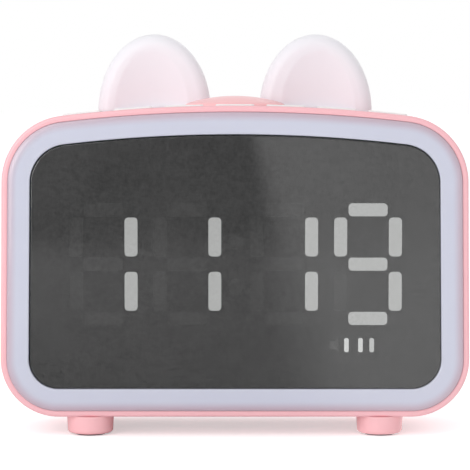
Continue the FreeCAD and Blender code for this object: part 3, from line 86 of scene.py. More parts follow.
# The side is the straight line that touches both corner circles
corner_run = math.hypot(bottom_corner_x - top_corner_x, top_corner_z - bottom_corner_z)
run_angle = math.atan2(bottom_corner_x - top_corner_x, top_corner_z - bottom_corner_z)
lean_angle = math.asin((TOP_CORNER_RADIUS - BOTTOM_CORNER_RADIUS) / corner_run)
side_angle = run_angle - lean_angle
side_length = corner_run * math.cos(lean_angle)
arc_angle = math.asin(top_corner_x / (TOP_ARC_RADIUS - TOP_CORNER_RADIUS))


def arch_z(x):
    """Height of the body's arched top at x."""
    return top_arc_z + math.sqrt(TOP_ARC_RADIUS ** 2 - x ** 2)


def inset_of(point):
    """How far a point is inside the body's outline."""
    x = abs(point.x)
    if point.z > top_corner_z:
        if x < top_corner_x:
            return TOP_ARC_RADIUS - math.hypot(x, point.z - top_arc_z)
        return TOP_CORNER_RADIUS - math.hypot(x - top_corner_x, point.z - top_corner_z)
    if point.z < bottom_corner_z:
        if x < bottom_corner_x:
            return point.z - shell_low.z
        return BOTTOM_CORNER_RADIUS - math.hypot(x - bottom_corner_x, point.z - bottom_corner_z)
    return (BOTTOM_CORNER_RADIUS - (x - bottom_corner_x) * math.cos(side_angle)
            - (point.z - bottom_corner_z) * math.sin(side_angle))


def draw_profile(points, closed):
    """New mesh with a chain of points in the plane x = 0, from (depth, inset) pairs."""
    bpy.ops.object.select_all(action="DESELECT")
    bpy.ops.mesh.primitive_plane_add()
    bpy.ops.object.mode_set(mode="EDIT")
    bpy.ops.mesh.select_mode(type="VERT")
    bpy.ops.mesh.merge(type="CENTER")
    bpy.ops.transform.translate(value=(0, points[0][0], shell_low.z + points[0][1]))
    for (y0, z0), (y1, z1) in zip(points, points[1:]):
        bpy.ops.mesh.extrude_vertices_move(TRANSFORM_OT_translate={"value": (0, y1 - y0, z1 - z0)})
    if closed:
        chain = bmesh.from_edit_mesh(bpy.context.object.data)
        ends = [vertex for vertex in chain.verts if len(vertex.link_edges) == 1]
        for vertex in chain.verts:
            vertex.select_set(vertex in ends)
        chain.select_flush_mode()
        bpy.ops.mesh.edge_face_add()
    bpy.ops.mesh.select_all(action="SELECT")


def sweep_round_body(points, closed):
    """Carry a profile round the body's outline: half of it is swept, and then mirrored."""
    draw_profile(points, closed)
    along_side = (-side_length * math.sin(side_angle), 0, side_length * math.cos(side_angle))
    bpy.ops.mesh.extrude_edges_move(TRANSFORM_OT_translate={"value": (bottom_corner_x, 0, 0)})
    bpy.ops.mesh.spin(steps=CORNER_STEPS, angle=math.pi / 2 + side_angle, axis=(0, 1, 0),
                      center=(bottom_corner_x, 0, bottom_corner_z))
    bpy.ops.mesh.extrude_edges_move(TRANSFORM_OT_translate={"value": along_side})
    bpy.ops.mesh.spin(steps=CORNER_STEPS, angle=math.pi / 2 - side_angle - arc_angle, axis=(0, 1, 0),
                      center=(top_corner_x, 0, top_corner_z))
    bpy.ops.mesh.spin(steps=ARCH_STEPS, angle=arc_angle, axis=(0, 1, 0), center=(0, 0, top_arc_z))
    bpy.ops.object.mode_set(mode="OBJECT")
    add_modifier("MIRROR", merge_threshold=TOUCH)
    turn_outward()
    return bpy.context.object


def turn_outward():
    """Make the active piece's faces all point outwards."""
    bpy.ops.object.mode_set(mode="EDIT")
    bpy.ops.mesh.select_all(action="SELECT")
    bpy.ops.mesh.normals_make_consistent(inside=False)
    bpy.ops.object.mode_set(mode="OBJECT")


def add_modifier(kind, **settings):
    """Give the active piece a modifier and apply it at once."""
    piece = bpy.context.object
    modifier = piece.modifiers.new(kind, kind)
    for name, value in settings.items():
        setattr(modifier, name, value)
    bpy.ops.object.modifier_apply(modifier=modifier.name)


def pick_edges(test, sharp=True):
    """In edit mode, leave selected only the sharp edges, or all edges, whose middle passes the test."""
    bpy.ops.mesh.select_mode(type="EDGE")
    bpy.ops.mesh.select_all(action="DESELECT")
    if sharp:
        bpy.ops.mesh.edges_select_sharp(sharpness=SHARP_EDGE)
    else:
        bpy.ops.mesh.select_all(action="SELECT")
    mesh = bmesh.from_edit_mesh(bpy.context.object.data)
    chosen = [edge for edge in mesh.edges
              if edge.select and test((edge.verts[0].co + edge.verts[1].co) / 2)]
    bpy.ops.mesh.select_all(action="DESELECT")
    for edge in chosen:
        edge.select_set(True)
    bmesh.update_edit_mesh(bpy.context.object.data)


def round_edges(test, width, segments):
    """Bevel the active piece's sharp edges whose middle passes the test."""
    bpy.ops.object.mode_set(mode="EDIT")
    pick_edges(test)
    bpy.ops.mesh.bevel(offset=width, offset_type="OFFSET", segments=segments, clamp_overlap=False)
    bpy.ops.object.mode_set(mode="OBJECT")


def close_loop(test):
    """Fill an open loop of edges with one flat face."""
    bpy.ops.object.mode_set(mode="EDIT")
    pick_edges(test, sharp=False)
    bpy.ops.mesh.edge_face_add()
    bpy.ops.object.mode_set(mode="OBJECT")
    turn_outward()


def at_depth(y, least_inset=-math.inf, most_inset=math.inf):
    """Test for edges that lie at a depth, and between two insets from the body's outline."""
    return lambda middle: abs(middle.y - y) < TOUCH and least_inset < inset_of(middle) < most_inset


def rounded_box(low, high, corner):
    """Box between two corners, with its four upright edges rounded."""
    bpy.ops.object.select_all(action="DESELECT")
    centre = [(a + b) / 2 for a, b in zip(low, high)]
    size = [b - a for a, b in zip(low, high)]
    bpy.ops.mesh.primitive_cube_add(size=1, location=centre, scale=size)
    bpy.ops.object.transform_apply()
    bpy.ops.object.mode_set(mode="EDIT")
    pick_edges(lambda middle: all(abs(abs(middle[i] - centre[i]) - size[i] / 2) < TOUCH for i in (0, 1)))
    bpy.ops.mesh.bevel(offset=corner, segments=BOX_CORNER_STEPS)
    bpy.ops.object.mode_set(mode="OBJECT")
    return bpy.context.object


def rod(radius, x, y, bottom, top, sides=ROD_SIDES):
    """Upright round rod."""
    bpy.ops.object.select_all(action="DESELECT")
    bpy.ops.mesh.primitive_cylinder_add(vertices=sides, radius=radius, depth=top - bottom,
                                        location=(x, y, (bottom + top) / 2))
    bpy.ops.object.transform_apply()
    return bpy.context.object


def join(pieces):
    """Make several pieces one, which keeps the first one's place in the scene."""
    bpy.ops.object.select_all(action="DESELECT")
    for piece in pieces:
        piece.select_set(True)
    bpy.context.view_layer.objects.active = pieces[0]
    bpy.ops.object.join()
    return bpy.context.object


def cut(piece, cutters):
    """Take cutters that don't touch each other out of a piece."""
    tool = join(cutters)
    bpy.ops.object.select_all(action="DESELECT")
    piece.select_set(True)
    bpy.context.view_layer.objects.active = piece
    add_modifier("BOOLEAN", operation="DIFFERENCE", solver="EXACT", object=tool)
    bpy.data.objects.remove(tool)


def settle(piece, name, body, material, replaced):
    """Name a finished piece, smooth it, and tie it to its body, its finish and the nodes it stands for."""
    bpy.ops.object.select_all(action="DESELECT")
    piece.select_set(True)
    bpy.context.view_layer.objects.active = piece
    bpy.ops.object.shade_smooth_by_angle(angle=SMOOTH_ANGLE)
    add_modifier("WEIGHTED_NORMAL", weight=100, keep_sharp=True)
    piece.name = name
    piece.data.name = name
    piece.data.materials.clear()
    piece.data.materials.append(material)
    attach(piece, body)
    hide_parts(*replaced)
    return piece


class Field:
    """One output of a material's nodes. Sums of fields and numbers add Math nodes."""

    def __init__(self, tree, socket):
        self.tree = tree
        self.socket = socket

    def node(self, kind, settings, inputs, output=0):
        """Add any other node to the same tree; its inputs are numbers, colours or fields."""
        made = self.tree.nodes.new(kind)
        for name, value in settings.items():
            setattr(made, name, value)
        for name, value in inputs.items():
            if isinstance(value, Field):
                self.tree.links.new(value.socket, made.inputs[name])
            else:
                made.inputs[name].default_value = value
        return Field(self.tree, made.outputs[output])

    def math(self, operation, *values):
        """Add a Math node."""
        return self.node("ShaderNodeMath", {"operation": operation}, dict(enumerate(values)))

    def __add__(self, other):
        return self.math("ADD", self, other)

    def __radd__(self, other):
        return self.math("ADD", other, self)

    def __sub__(self, other):
        return self.math("SUBTRACT", self, other)

    def __rsub__(self, other):
        return self.math("SUBTRACT", other, self)

    def __mul__(self, other):
        return self.math("MULTIPLY", self, other)

    def __rmul__(self, other):
        return self.math("MULTIPLY", other, self)

    def __gt__(self, other):
        return self.math("GREATER_THAN", self, other)

    def __abs__(self):
        return self.math("ABSOLUTE", self)

    def feed(self, shader, name):
        """Lead this field to one socket of the shader."""
        self.tree.links.new(self.socket, shader.inputs[name])


def rgb(red, green, blue):
    """Linear colour of a chip that is given in the usual 0 to 255 steps."""
    steps = [value / 255 for value in (red, green, blue)]
    return [s / 12.92 if s <= 0.04045 else ((s + 0.055) / 1.055) ** 2.4 for s in steps] + [1.0]


def finish(slot, sockets):
    """A new material, its shader with constants set on it, and the place on the object in metres."""
    material = bpy.data.materials.new(slot)
    material.use_nodes = True
    tree = material.node_tree
    shader = tree.nodes["Principled BSDF"]
    for name, value in sockets.items():
        shader.inputs[name].default_value = value
    place = Field(tree, tree.nodes.new("ShaderNodeTexCoord").outputs["Object"])
    return material, shader, place


def noise(place, scale, detail):
    """Cloudy pattern from 0 to 1; the scale is in patches a metre."""
    return place.node("ShaderNodeTexNoise", {}, {"Vector": place, "Scale": scale, "Detail": detail})


def blend(mask, low, high):
    """Colour that goes from low to high as the mask goes from 0 to 1."""
    return mask.node("ShaderNodeMix", {"data_type": "RGBA"}, {"Factor": mask, 6: low, 7: high}, output=2)


DRIFT_SCALE = 35.0
GLOSS_SCALE = 260.0
GLOSS_SPREAD = 0.08
GRAIN_SCALE = 5200.0
GRAIN_HEIGHT = 0.00002


def drift(place, light, dark):
    """Slow drift between two near shades, as in any moulded plastic."""
    return blend(noise(place, DRIFT_SCALE, detail=3.0), dark, light)


def uneven_gloss(place, roughness, spread=GLOSS_SPREAD):
    """Roughness that varies a little from patch to patch."""
    return noise(place, GLOSS_SCALE, detail=4.0) * spread + (roughness - spread / 2)


def relief(height, strength, distance):
    """Small bumps whose real height is the distance."""
    return height.node("ShaderNodeBump", {}, {"Height": height, "Strength": strength, "Distance": distance})


def grain_of(place, strength):
    """Fine grain that the mould leaves on plastic."""
    return relief(noise(place, GRAIN_SCALE, detail=2.0), strength, GRAIN_HEIGHT)


def moulded(slot, light, dark, roughness, grain, sockets=None):
    """Moulded plastic, or metal where the sockets say so: drifting shade, uneven gloss, fine grain."""
    material, shader, place = finish(slot, sockets or {})
    drift(place, light, dark).feed(shader, "Base Color")
    uneven_gloss(place, roughness).feed(shader, "Roughness")
    grain_of(place, grain).feed(shader, "Normal")
    return material


def dress(names, material):
    """Give the solids of these nodes a finish of their own."""
    for name in names:
        nodes[name].data.materials.clear()
        nodes[name].data.materials.append(material)


pink_gloss = {"Coat Weight": 0.35, "Coat Roughness": 0.12, "IOR": 1.5}
pink = moulded("pink_shell", rgb(250, 192, 199), rgb(247, 187, 194), roughness=0.36, grain=0.12,
               sockets=pink_gloss)

shell = sweep_round_body([(shell_high.y, SHELL_WALL), (shell_low.y, SHELL_WALL), (shell_low.y, 0),
                          (shell_high.y, 0)], closed=True)
round_edges(at_depth(shell_low.y, most_inset=SHELL_WALL / 2), RIM_ROUND, segments=5)
round_edges(at_depth(shell_low.y, least_inset=SHELL_WALL / 2), RIM_INNER_ROUND, segments=2)
round_edges(at_depth(shell_high.y, most_inset=SHELL_WALL / 2), PARTING_CHAMFER, segments=1)

key_names = [f"key_{number}" for number in range(1, 8)]
hole_top = shell_high.z + HOLE_ABOVE
hole_bottom = shell_high.z - HOLE_BELOW
holes = []
for name in key_names:
    low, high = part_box(name)
    room = KEY_LIP - BUTTON_FIT
    holes.append(rounded_box((low.x + room, low.y + room, hole_bottom),
                             (high.x - room, high.y - room, hole_top), KEY_ROUND + BUTTON_FIT))
snooze_low, snooze_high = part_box("snooze_button")
snooze_y = (snooze_low.y + snooze_high.y) / 2
snooze_hole = rod(1.0, 0, 0, hole_bottom, hole_top, sides=OVAL_SIDES)
bpy.ops.transform.resize(value=(SNOOZE_HALF_WIDTH + BUTTON_FIT, SNOOZE_HALF_DEPTH + BUTTON_FIT, 1))
bpy.ops.transform.translate(value=(0, snooze_y, 0))
bpy.ops.object.transform_apply()
holes.append(snooze_hole)
for name in ("ear_left", "ear_right"):
    low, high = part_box(name)
    inward = EAR_FLANGE - EAR_FIT
    holes.append(rounded_box((low.x + inward, low.y - EAR_FIT, hole_bottom),
                             (high.x - inward, high.y + EAR_FIT, hole_top), EAR_ROUND + EAR_FIT))
cut(shell, holes)
settle(shell, "pink_tub", "case", pink, ["front_shell"])

# Light ring: a milky polycarbonate channel that frames the mirror.
# It is pressed in from the back against the tub's rim and spreads the light of the lamps behind it.
ring_low, ring_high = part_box("light_ring")
RING_INSET = 0.00202
RING_SKIRT = 0.0015
RING_FACE = 0.002
RING_ROLL_WIDTH = 0.0024
RING_ROLL_DROP = 0.0005
RING_ROLL_STEPS = 8
RING_INNER_ROUND = 0.0005
RING_INNER = 0.0091
RIM_SHADE_AND_REFLECTION_WIDTH = 0.0034
channel_y = ring_low.y + RING_FACE
ring_roll = []
for step in range(RING_ROLL_STEPS + 1):
    angle = math.pi / 2 * step / RING_ROLL_STEPS
    ring_roll.append((ring_low.y + RING_ROLL_DROP * (1 - math.sin(angle)),
                      RING_INSET + RING_ROLL_WIDTH * (1 - math.cos(angle))))
ring = sweep_round_body([(ring_high.y, RING_INSET)] + ring_roll + [
    (ring_low.y, RING_INNER), (ring_high.y, RING_INNER), (ring_high.y, RING_INNER - RING_SKIRT),
    (channel_y, RING_INNER - RING_SKIRT), (channel_y, RING_INSET + RING_SKIRT),
    (ring_high.y, RING_INSET + RING_SKIRT)], closed=True)
round_edges(at_depth(ring_low.y, least_inset=RING_INNER - RING_SKIRT), RING_INNER_ROUND, segments=4)

# How far each point is from the pink rim. Near it the milky edge is painted darker and pinker: painted
# shade, and a painted reflection of the pink rim.
from_rim = ring.data.attributes.new("from_rim", "FLOAT", "POINT")
for vertex in ring.data.vertices:
    from_rim.data[vertex.index].value = inset_of(vertex.co) - RING_INSET

ring_milk, ring_shader, ring_place = finish("milky_ring", {
    "Subsurface Weight": 0.25, "Subsurface Radius": (0.003, 0.003, 0.0035), "Subsurface Scale": 1.0,
    "Coat Weight": 0.8, "Coat Roughness": 0.1})
rim_distance = ring_place.node("ShaderNodeAttribute", {"attribute_name": "from_rim"}, {}, output=2)
rim_shade_and_reflection = ring_place.node("ShaderNodeMapRange", {"interpolation_type": "SMOOTHSTEP"},
                        {"Value": rim_distance, "From Min": 0.0, "From Max": RIM_SHADE_AND_REFLECTION_WIDTH})
milk = drift(ring_place, rgb(205, 207, 223), rgb(200, 202, 219))
# Painted shade and painted pink reflection: the milk darkens and turns pink over the last few millimetres
# next to the rim.
blend(rim_shade_and_reflection, rgb(192, 170, 184), milk).feed(ring_shader, "Base Color")
uneven_gloss(ring_place, roughness=0.42).feed(ring_shader, "Roughness")
grain_of(ring_place, strength=0.08).feed(ring_shader, "Normal")
settle(ring, "light_ring_cover", "case", ring_milk, ["light_ring"])

# Lamp boards: glass-fibre boards under green or white lacquer, cut by a router.
# The weave shows faintly through the lacquer.
WEAVE_SCALE = 700.0
WEAVE_HEIGHT = 0.00003


def board_lacquer(slot, light, dark):
    """Lacquer over the slanting threads of the board's glass cloth."""
    material, shader, place = finish(slot, {"Coat Weight": 0.4, "Coat Roughness": 0.2, "Roughness": 0.5})
    weave = place.node("ShaderNodeTexWave", {"wave_type": "BANDS", "bands_direction": "DIAGONAL"},
                       {"Vector": place, "Scale": WEAVE_SCALE, "Distortion": 1.0}, output=1)
    blend(weave, dark, light).feed(shader, "Base Color")
    relief(weave, strength=0.1, distance=WEAVE_HEIGHT).feed(shader, "Normal")
    return material


white_board = board_lacquer("white_board", rgb(238, 240, 236), rgb(228, 231, 226))
dress(["ring_board", "ear_board"], white_board)
green_board = board_lacquer("circuit_board", rgb(34, 92, 58), rgb(26, 76, 47))
dress(["display_board", "key_board", "main_board"], green_board)

# Lamps: small white packages with a yellow phosphor face, soldered to the boards.
# They stand in a row behind the light ring, one behind each window, and three under each ear.
led = moulded("led_package", rgb(246, 236, 178), rgb(242, 230, 160), roughness=0.35, grain=0.05)
dress(["ring_leds", "display_leds", "ear_leds"], led)

# Screws: zinc-plated steel, with a pan head and a cross slot.
# They cut their own thread in the plastic posts of the tub and the cover.
bare_metal = {"Metallic": 1.0}
steel = moulded("screw_steel", rgb(196, 198, 202), rgb(176, 178, 184), roughness=0.3, grain=0.2,
                sockets=bare_metal)
dress(["ring_board_screws", "display_screws", "key_board_screws", "ear_board_screws", "main_board_screws",
       "cradle_screws", "cover_screws", "foot_screws"], steel)

# Segment block: black ABS, moulded with a window for every segment and screwed to the display
# board. The cradle of the battery is made of the same plastic.
block = moulded("black_housing", rgb(24, 24, 26), rgb(18, 18, 20), roughness=0.6, grain=0.3)
dress(["display_reflector", "battery_cradle"], block)

# Segments: milky diffusers pushed into the windows of the block. The lit ones glow evenly
# grey-white, the unlit ones carry a weak painted glow of stray light from their lit neighbours so they show
# as faint shapes, and the small speaker sign is lit weakly.
LIT_GLOW = 2.35
UNLIT_PAINTED_GLOW = 0.05
SIGN_GLOW = 0.18
GLOW_SCALE = 300.0
GLOW_EVENNESS = 0.96
lamp_white = rgb(250, 252, 250)
diffuser = {"Base Color": rgb(70, 70, 70), "Roughness": 0.7}


def lamp_glow(slot, strength):
    """Diffuser that glows a little unevenly: lit from behind, or at a weak strength a painted glow of stray
    light.
    """
    material, shader, place = finish(slot, diffuser | {"Emission Strength": strength})
    dimmer_white = [GLOW_EVENNESS * part for part in lamp_white[:3]] + [1.0]
    blend(noise(place, GLOW_SCALE, detail=2.0), dimmer_white, lamp_white).feed(shader, "Emission Color")
    return material


dress(["lit_segments"], lamp_glow("lit_diffuser", LIT_GLOW))
# Painted light: the unlit segments have no lamp of their own, and their weak glow stands for stray light
# from the lit ones.
dress(["unlit_segments"], lamp_glow("unlit_diffuser", UNLIT_PAINTED_GLOW))
dress(["speaker_icon"], lamp_glow("icon_diffuser", SIGN_GLOW))

# Volume bars: three narrow diffusers in the same block, lit brighter than the digits.
# The last one stands off the middle of its lamp, and is a little dimmer.
BAR_GLOW = 3.3
LAST_BAR_X = 0.042
bar, bar_shader, bar_place = finish("bar_diffuser", diffuser | {"Emission Strength": BAR_GLOW})
bar_x = bar_place.node("ShaderNodeSeparateXYZ", {}, {"Vector": bar_place})
blend(bar_x > LAST_BAR_X, lamp_white, rgb(224, 226, 224)).feed(bar_shader, "Emission Color")
dress(["volume_bars"], bar)

# Mirror panel: 2 mm acrylic with a one-way mirror film behind it and a polished bevel.
# It is dark while the light in front is brighter, and the lit segments show through.
# It has settled a hair's breadth down and to one side of its seat.
mirror_low, mirror_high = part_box("mirror_panel")
MIRROR_INSET = 0.0093
MIRROR_BEVEL = 0.0004
MIRROR_SETTLING = 0.0001
MIRROR_BACK_GAP = 0.00004
SMUDGE_SCALE = 28.0
SMUDGE_FLOOR = 0.2
DUST_SCALE = 1200.0
DUST_CONTRAST = 2.4
DUST_FLOOR = 1.0
HAZE_SCALE = 30.0
HAZE = 0.03
POLISH = 0.015
mirror_back = mirror_high.y - MIRROR_BACK_GAP
panel = sweep_round_body([(mirror_back, MIRROR_INSET), (mirror_low.y, MIRROR_INSET)], closed=False)
close_loop(at_depth(mirror_back))
close_loop(at_depth(mirror_low.y))
round_edges(at_depth(mirror_low.y), MIRROR_BEVEL, segments=2)
bpy.ops.transform.translate(value=(MIRROR_SETTLING, 0, -MIRROR_SETTLING))
bpy.ops.object.transform_apply()
mirror, mirror_shader, mirror_place = finish("dark_mirror", {"IOR": 1.8, "Alpha": 0.6})
smudge = noise(mirror_place, SMUDGE_SCALE, detail=3.0) - SMUDGE_FLOOR
dust = noise(mirror_place, DUST_SCALE, detail=3.0) * DUST_CONTRAST - DUST_FLOOR
blend(smudge + dust, rgb(14, 14, 14), rgb(64, 64, 64)).feed(mirror_shader, "Base Color")
(noise(mirror_place, HAZE_SCALE, detail=3.0) * HAZE + POLISH).feed(mirror_shader, "Roughness")
settle(panel, "mirror_front", "case", mirror, ["mirror_panel"])

# Keys: seven white ABS caps in the top wall, each with a lip that stops it from below
# and a stem that works its switch. Their tops follow the arch.
KEY_EDGE = 0.0004
KEY_STEM_RADIUS = 0.0015
KEY_PROUD = 0.0005
LIP_THICKNESS = 0.001
LIP_GAP = 0.0002
white = moulded("white_key", rgb(250, 249, 248), rgb(246, 245, 244), roughness=0.35, grain=0.1,
                sockets={"Coat Weight": 0.2})
for name in key_names:
    low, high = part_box(name)
    middle_x = (low.x + high.x) / 2
    middle_y = (low.y + high.y) / 2
    key_top = arch_z(middle_x) + KEY_PROUD
    lip_top = arch_z(middle_x) - SHELL_WALL - LIP_GAP
    lip_foot = lip_top - LIP_THICKNESS
    cap = rounded_box((low.x + KEY_LIP, low.y + KEY_LIP, lip_foot),
                      (high.x - KEY_LIP, high.y - KEY_LIP, key_top), KEY_ROUND)
    round_edges(lambda middle: middle.z > key_top - TOUCH, KEY_EDGE, segments=3)
    lip = rounded_box((low.x, low.y, lip_foot), (high.x, high.y, lip_top), KEY_EDGE)
    stem = rod(KEY_STEM_RADIUS, middle_x, middle_y, low.z, lip_top)
    key = join([cap, lip, stem])
    for vertex in key.data.vertices:
        if vertex.co.z > lip_foot - TOUCH:
            vertex.co.z += arch_z(vertex.co.x) - arch_z(middle_x)
    settle(key, f"{name}_cap", name, white, [name])

# Snooze button: a crowned oval cap of the shell's own pink, on its own lip and stem.
CROWN_DROP = 0.0027
CROWN_STEPS = 14
CROWN_EDGE = 0.0008
SNOOZE_STEM_RADIUS = 0.0025
crown_bend = (SNOOZE_HALF_DEPTH ** 2 + CROWN_DROP ** 2) / (2 * CROWN_DROP)
dome = moulded("pink_button", rgb(255, 200, 203), rgb(253, 196, 199), roughness=0.4, grain=0.12,
               sockets=pink_gloss)
lip_top = arch_z(SNOOZE_HALF_WIDTH + KEY_LIP) - SHELL_WALL - LIP_GAP
lip_foot = lip_top - LIP_THICKNESS
crown_foot = snooze_high.z - CROWN_DROP
lip_radius = SNOOZE_HALF_DEPTH * (1 + KEY_LIP / SNOOZE_HALF_WIDTH)
button_rings = [(lip_radius, lip_top), (SNOOZE_HALF_DEPTH, lip_top), (SNOOZE_HALF_DEPTH, crown_foot)]
for step in range(1, CROWN_STEPS + 1):
    ring_radius = SNOOZE_HALF_DEPTH * (1 - step / (CROWN_STEPS + 1))
    ring_height = snooze_high.z - crown_bend + math.sqrt(crown_bend ** 2 - ring_radius ** 2)
    button_rings.append((ring_radius, ring_height))
bpy.ops.object.select_all(action="DESELECT")
bpy.ops.mesh.primitive_circle_add(vertices=OVAL_SIDES, radius=lip_radius, fill_type="NGON",
                                  location=(0, 0, lip_foot))
bpy.ops.object.transform_apply()
bpy.ops.object.mode_set(mode="EDIT")
bpy.ops.mesh.select_all(action="SELECT")
radius = lip_radius
height = lip_foot
for next_radius, next_height in button_rings:
    bpy.ops.mesh.extrude_region_move(TRANSFORM_OT_translate={"value": (0, 0, next_height - height)})
    bpy.ops.transform.resize(value=(next_radius / radius, next_radius / radius, 1))
    radius = next_radius
    height = next_height
bpy.ops.object.mode_set(mode="OBJECT")
turn_outward()
round_edges(lambda middle: abs(middle.z - crown_foot) < TOUCH, CROWN_EDGE, segments=4)
bpy.ops.transform.resize(value=(SNOOZE_HALF_WIDTH / SNOOZE_HALF_DEPTH, 1, 1))
bpy.ops.transform.translate(value=(0, snooze_y, 0))
bpy.ops.object.transform_apply()
button = bpy.context.object
stem = rod(SNOOZE_STEM_RADIUS, 0, snooze_y, snooze_low.z, lip_foot)
button = join([button, stem])
settle(button, "snooze_cap", "snooze_button", dome, ["snooze_button"])

# Ears: two milky shells with a dished front, hollow and open below so that their lamps light them.
# Each is held from inside by a flange under the top wall.
EAR_CROWN = 0.0256
EAR_LEG = 0.012
EAR_WALL = 0.0017
EAR_HOLLOW_INSET = 0.0027
DISH_HALF_WIDTH = 0.0128
DISH_HEIGHT = 0.0208
DISH_DEPTH = 0.0021
DISH_OUTWARD = 0.0008
DISH_SILL = 0.0004
DISH_FRONT = 0.002
ROUND_STEPS = 8
DISH_STEPS = 14
EAR_SIDES = 128
ear_gloss = {"Subsurface Weight": 0.25, "Subsurface Radius": (0.003, 0.003, 0.003), "Subsurface Scale": 1.0,
             "Coat Weight": 0.1, "Coat Roughness": 0.2}
ear_milk = moulded("milky_ear", rgb(243, 241, 246), rgb(240, 238, 244), roughness=0.5, grain=0.06,
                   sockets=ear_gloss)


def ear_rings(half_width, thickness):
    """Outlines of the ear's rounded body, from its back to its front: half width, height and depth."""
    rings = []
    for step in range(ROUND_STEPS + 1):
        angle = math.pi / 2 * step / ROUND_STEPS
        inward = EAR_ROUND * (1 - math.sin(angle))
        rings.append((half_width - inward, EAR_CROWN - inward, EAR_ROUND * (1 - math.cos(angle))))
    for step in range(ROUND_STEPS + 1):
        angle = math.pi / 2 * step / ROUND_STEPS
        inward = EAR_ROUND * (1 - math.cos(angle))
        depth = thickness - EAR_ROUND * (1 - math.sin(angle))
        rings.append((half_width - inward, EAR_CROWN - inward, depth))
    return rings


def dish_rings(thickness):
    """Outlines of the space in front of the dish, from its bottom to just before the ear."""
    rings = []
    for step in range(1, DISH_STEPS + 1):
        share = step / DISH_STEPS
        depth = thickness - DISH_DEPTH * (1 - share ** 2)
        rings.append((DISH_HALF_WIDTH * share, DISH_HEIGHT * share, depth))
    return rings + [(DISH_HALF_WIDTH, DISH_HEIGHT, thickness + DISH_FRONT)]


def bisect_low(point, normal):
    """Take away what lies below a plane from the active solid."""
    bpy.ops.object.mode_set(mode="EDIT")
    bpy.ops.mesh.select_all(action="SELECT")
    bpy.ops.mesh.bisect(plane_co=point, plane_no=normal, use_fill=True, clear_inner=True)
    bpy.ops.object.mode_set(mode="OBJECT")
    turn_outward()


def ear_form(ear_x, foot_z, back_y, rings):
    """Solid with an arched outline on straight legs, through the given rings from back to front."""
    half_width, height, depth = rings[0]
    bpy.ops.object.select_all(action="DESELECT")
    bpy.ops.mesh.primitive_circle_add(vertices=EAR_SIDES, radius=1.0, fill_type="NOTHING",
                                      rotation=(math.pi / 2, 0, 0))
    bpy.ops.object.transform_apply()
    bpy.ops.object.mode_set(mode="EDIT")
    bpy.ops.mesh.select_mode(type="VERT")
    bpy.ops.mesh.select_all(action="DESELECT")
    outline = bmesh.from_edit_mesh(bpy.context.object.data)
    for vertex in outline.verts:
        vertex.select_set(vertex.co.z < -TOUCH)
    bpy.ops.mesh.delete(type="VERT")
    bpy.ops.mesh.select_all(action="SELECT")
    bpy.ops.transform.resize(value=(half_width, 1, height), center_override=(0, 0, 0))
    bpy.ops.transform.translate(value=(ear_x, back_y - depth, foot_z))
    outline = bmesh.from_edit_mesh(bpy.context.object.data)
    for vertex in outline.verts:
        vertex.select_set(len(vertex.link_edges) == 1)
    outline.select_flush_mode()
    bpy.ops.mesh.extrude_vertices_move(TRANSFORM_OT_translate={"value": (0, 0, -EAR_LEG)})
    bpy.ops.mesh.edge_face_add()
    bpy.ops.mesh.select_all(action="SELECT")
    bpy.ops.mesh.edge_face_add()
    for next_width, next_height, next_depth in rings[1:]:
        bpy.ops.mesh.extrude_region_move(TRANSFORM_OT_translate={"value": (0, depth - next_depth, 0)})
        bpy.ops.transform.resize(value=(next_width / half_width, 1, next_height / height),
                                 center_override=(ear_x, 0, foot_z))
        half_width = next_width
        height = next_height
        depth = next_depth
    bpy.ops.object.mode_set(mode="OBJECT")
    turn_outward()
    return bpy.context.object


for name, side in (("ear_left", -1), ("ear_right", 1)):
    low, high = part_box(name)
    ear_x = (low.x + high.x) / 2
    foot_z = high.z - EAR_CROWN
    half_width = (high.x - low.x) / 2 - EAR_FLANGE
    thickness = high.y - low.y
    hollow_width = half_width - EAR_HOLLOW_INSET
    hollow_height = EAR_CROWN - EAR_HOLLOW_INSET
    hollow = ear_form(ear_x, foot_z, high.y, [
        (hollow_width, hollow_height, EAR_WALL),
        (hollow_width, hollow_height, thickness - DISH_DEPTH - EAR_WALL)])
    dish = ear_form(ear_x + side * DISH_OUTWARD, foot_z, high.y, dish_rings(thickness))
    slope = ear_x / (arch_z(ear_x) - top_arc_z)
    bisect_low((ear_x, 0, arch_z(ear_x) + DISH_SILL), (slope, 0, 1))
    flange = rounded_box((low.x, low.y + EAR_ROUND, low.z),
                         (high.x, high.y - EAR_ROUND, low.z + EAR_FLANGE), EAR_FIT)
    ear = ear_form(ear_x, foot_z, high.y, ear_rings(half_width, thickness))
    bisect_low((0, 0, low.z), (0, 0, 1))
    add_modifier("BOOLEAN", operation="UNION", solver="EXACT", object=flange)
    bpy.data.objects.remove(flange)
    cut(ear, [hollow, dish])
    settle(ear, f"{name}_shell", "case", ear_milk, [name])

# Feet and pads: four glossy pink ABS cups, each held up against the tub by one screw.
# A soft dark pad is stuck into each cup and hides the screw.
foot = moulded("pink_foot", rgb(255, 197, 202), rgb(252, 191, 196), roughness=0.4, grain=0.12,
               sockets=pink_gloss)
dress(["feet"], foot)
pad = moulded("soft_pad", rgb(52, 50, 52), rgb(44, 42, 44), roughness=0.85, grain=0.5)
dress(["foot_pads"], pad)

# Rear cover: the tub's own pink ABS, moulded with the speaker's grille holes, the charging port's
# opening and the switch's slot. Four screws hold it to the tub from behind.
dress(["rear_cover"], pink)

# Switches: small black-bodied press switches, soldered under the keys and the snooze button,
# and the black knob of the slide switch, which stands in the rear cover's slot.
black = moulded("switch_black", rgb(30, 30, 32), rgb(24, 24, 26), roughness=0.45, grain=0.15)
dress(["key_switches", "snooze_switch", "switch_knob"], black)

# Metal cases: the charging port and the slide switch are folded from thin plated steel,
# and the speaker's basket is pressed from the same sheet.
case_steel = moulded("port_steel", rgb(188, 190, 194), rgb(170, 172, 178), roughness=0.28, grain=0.1,
                     sockets=bare_metal)
dress(["usb_port", "power_switch", "speaker_basket"], case_steel)

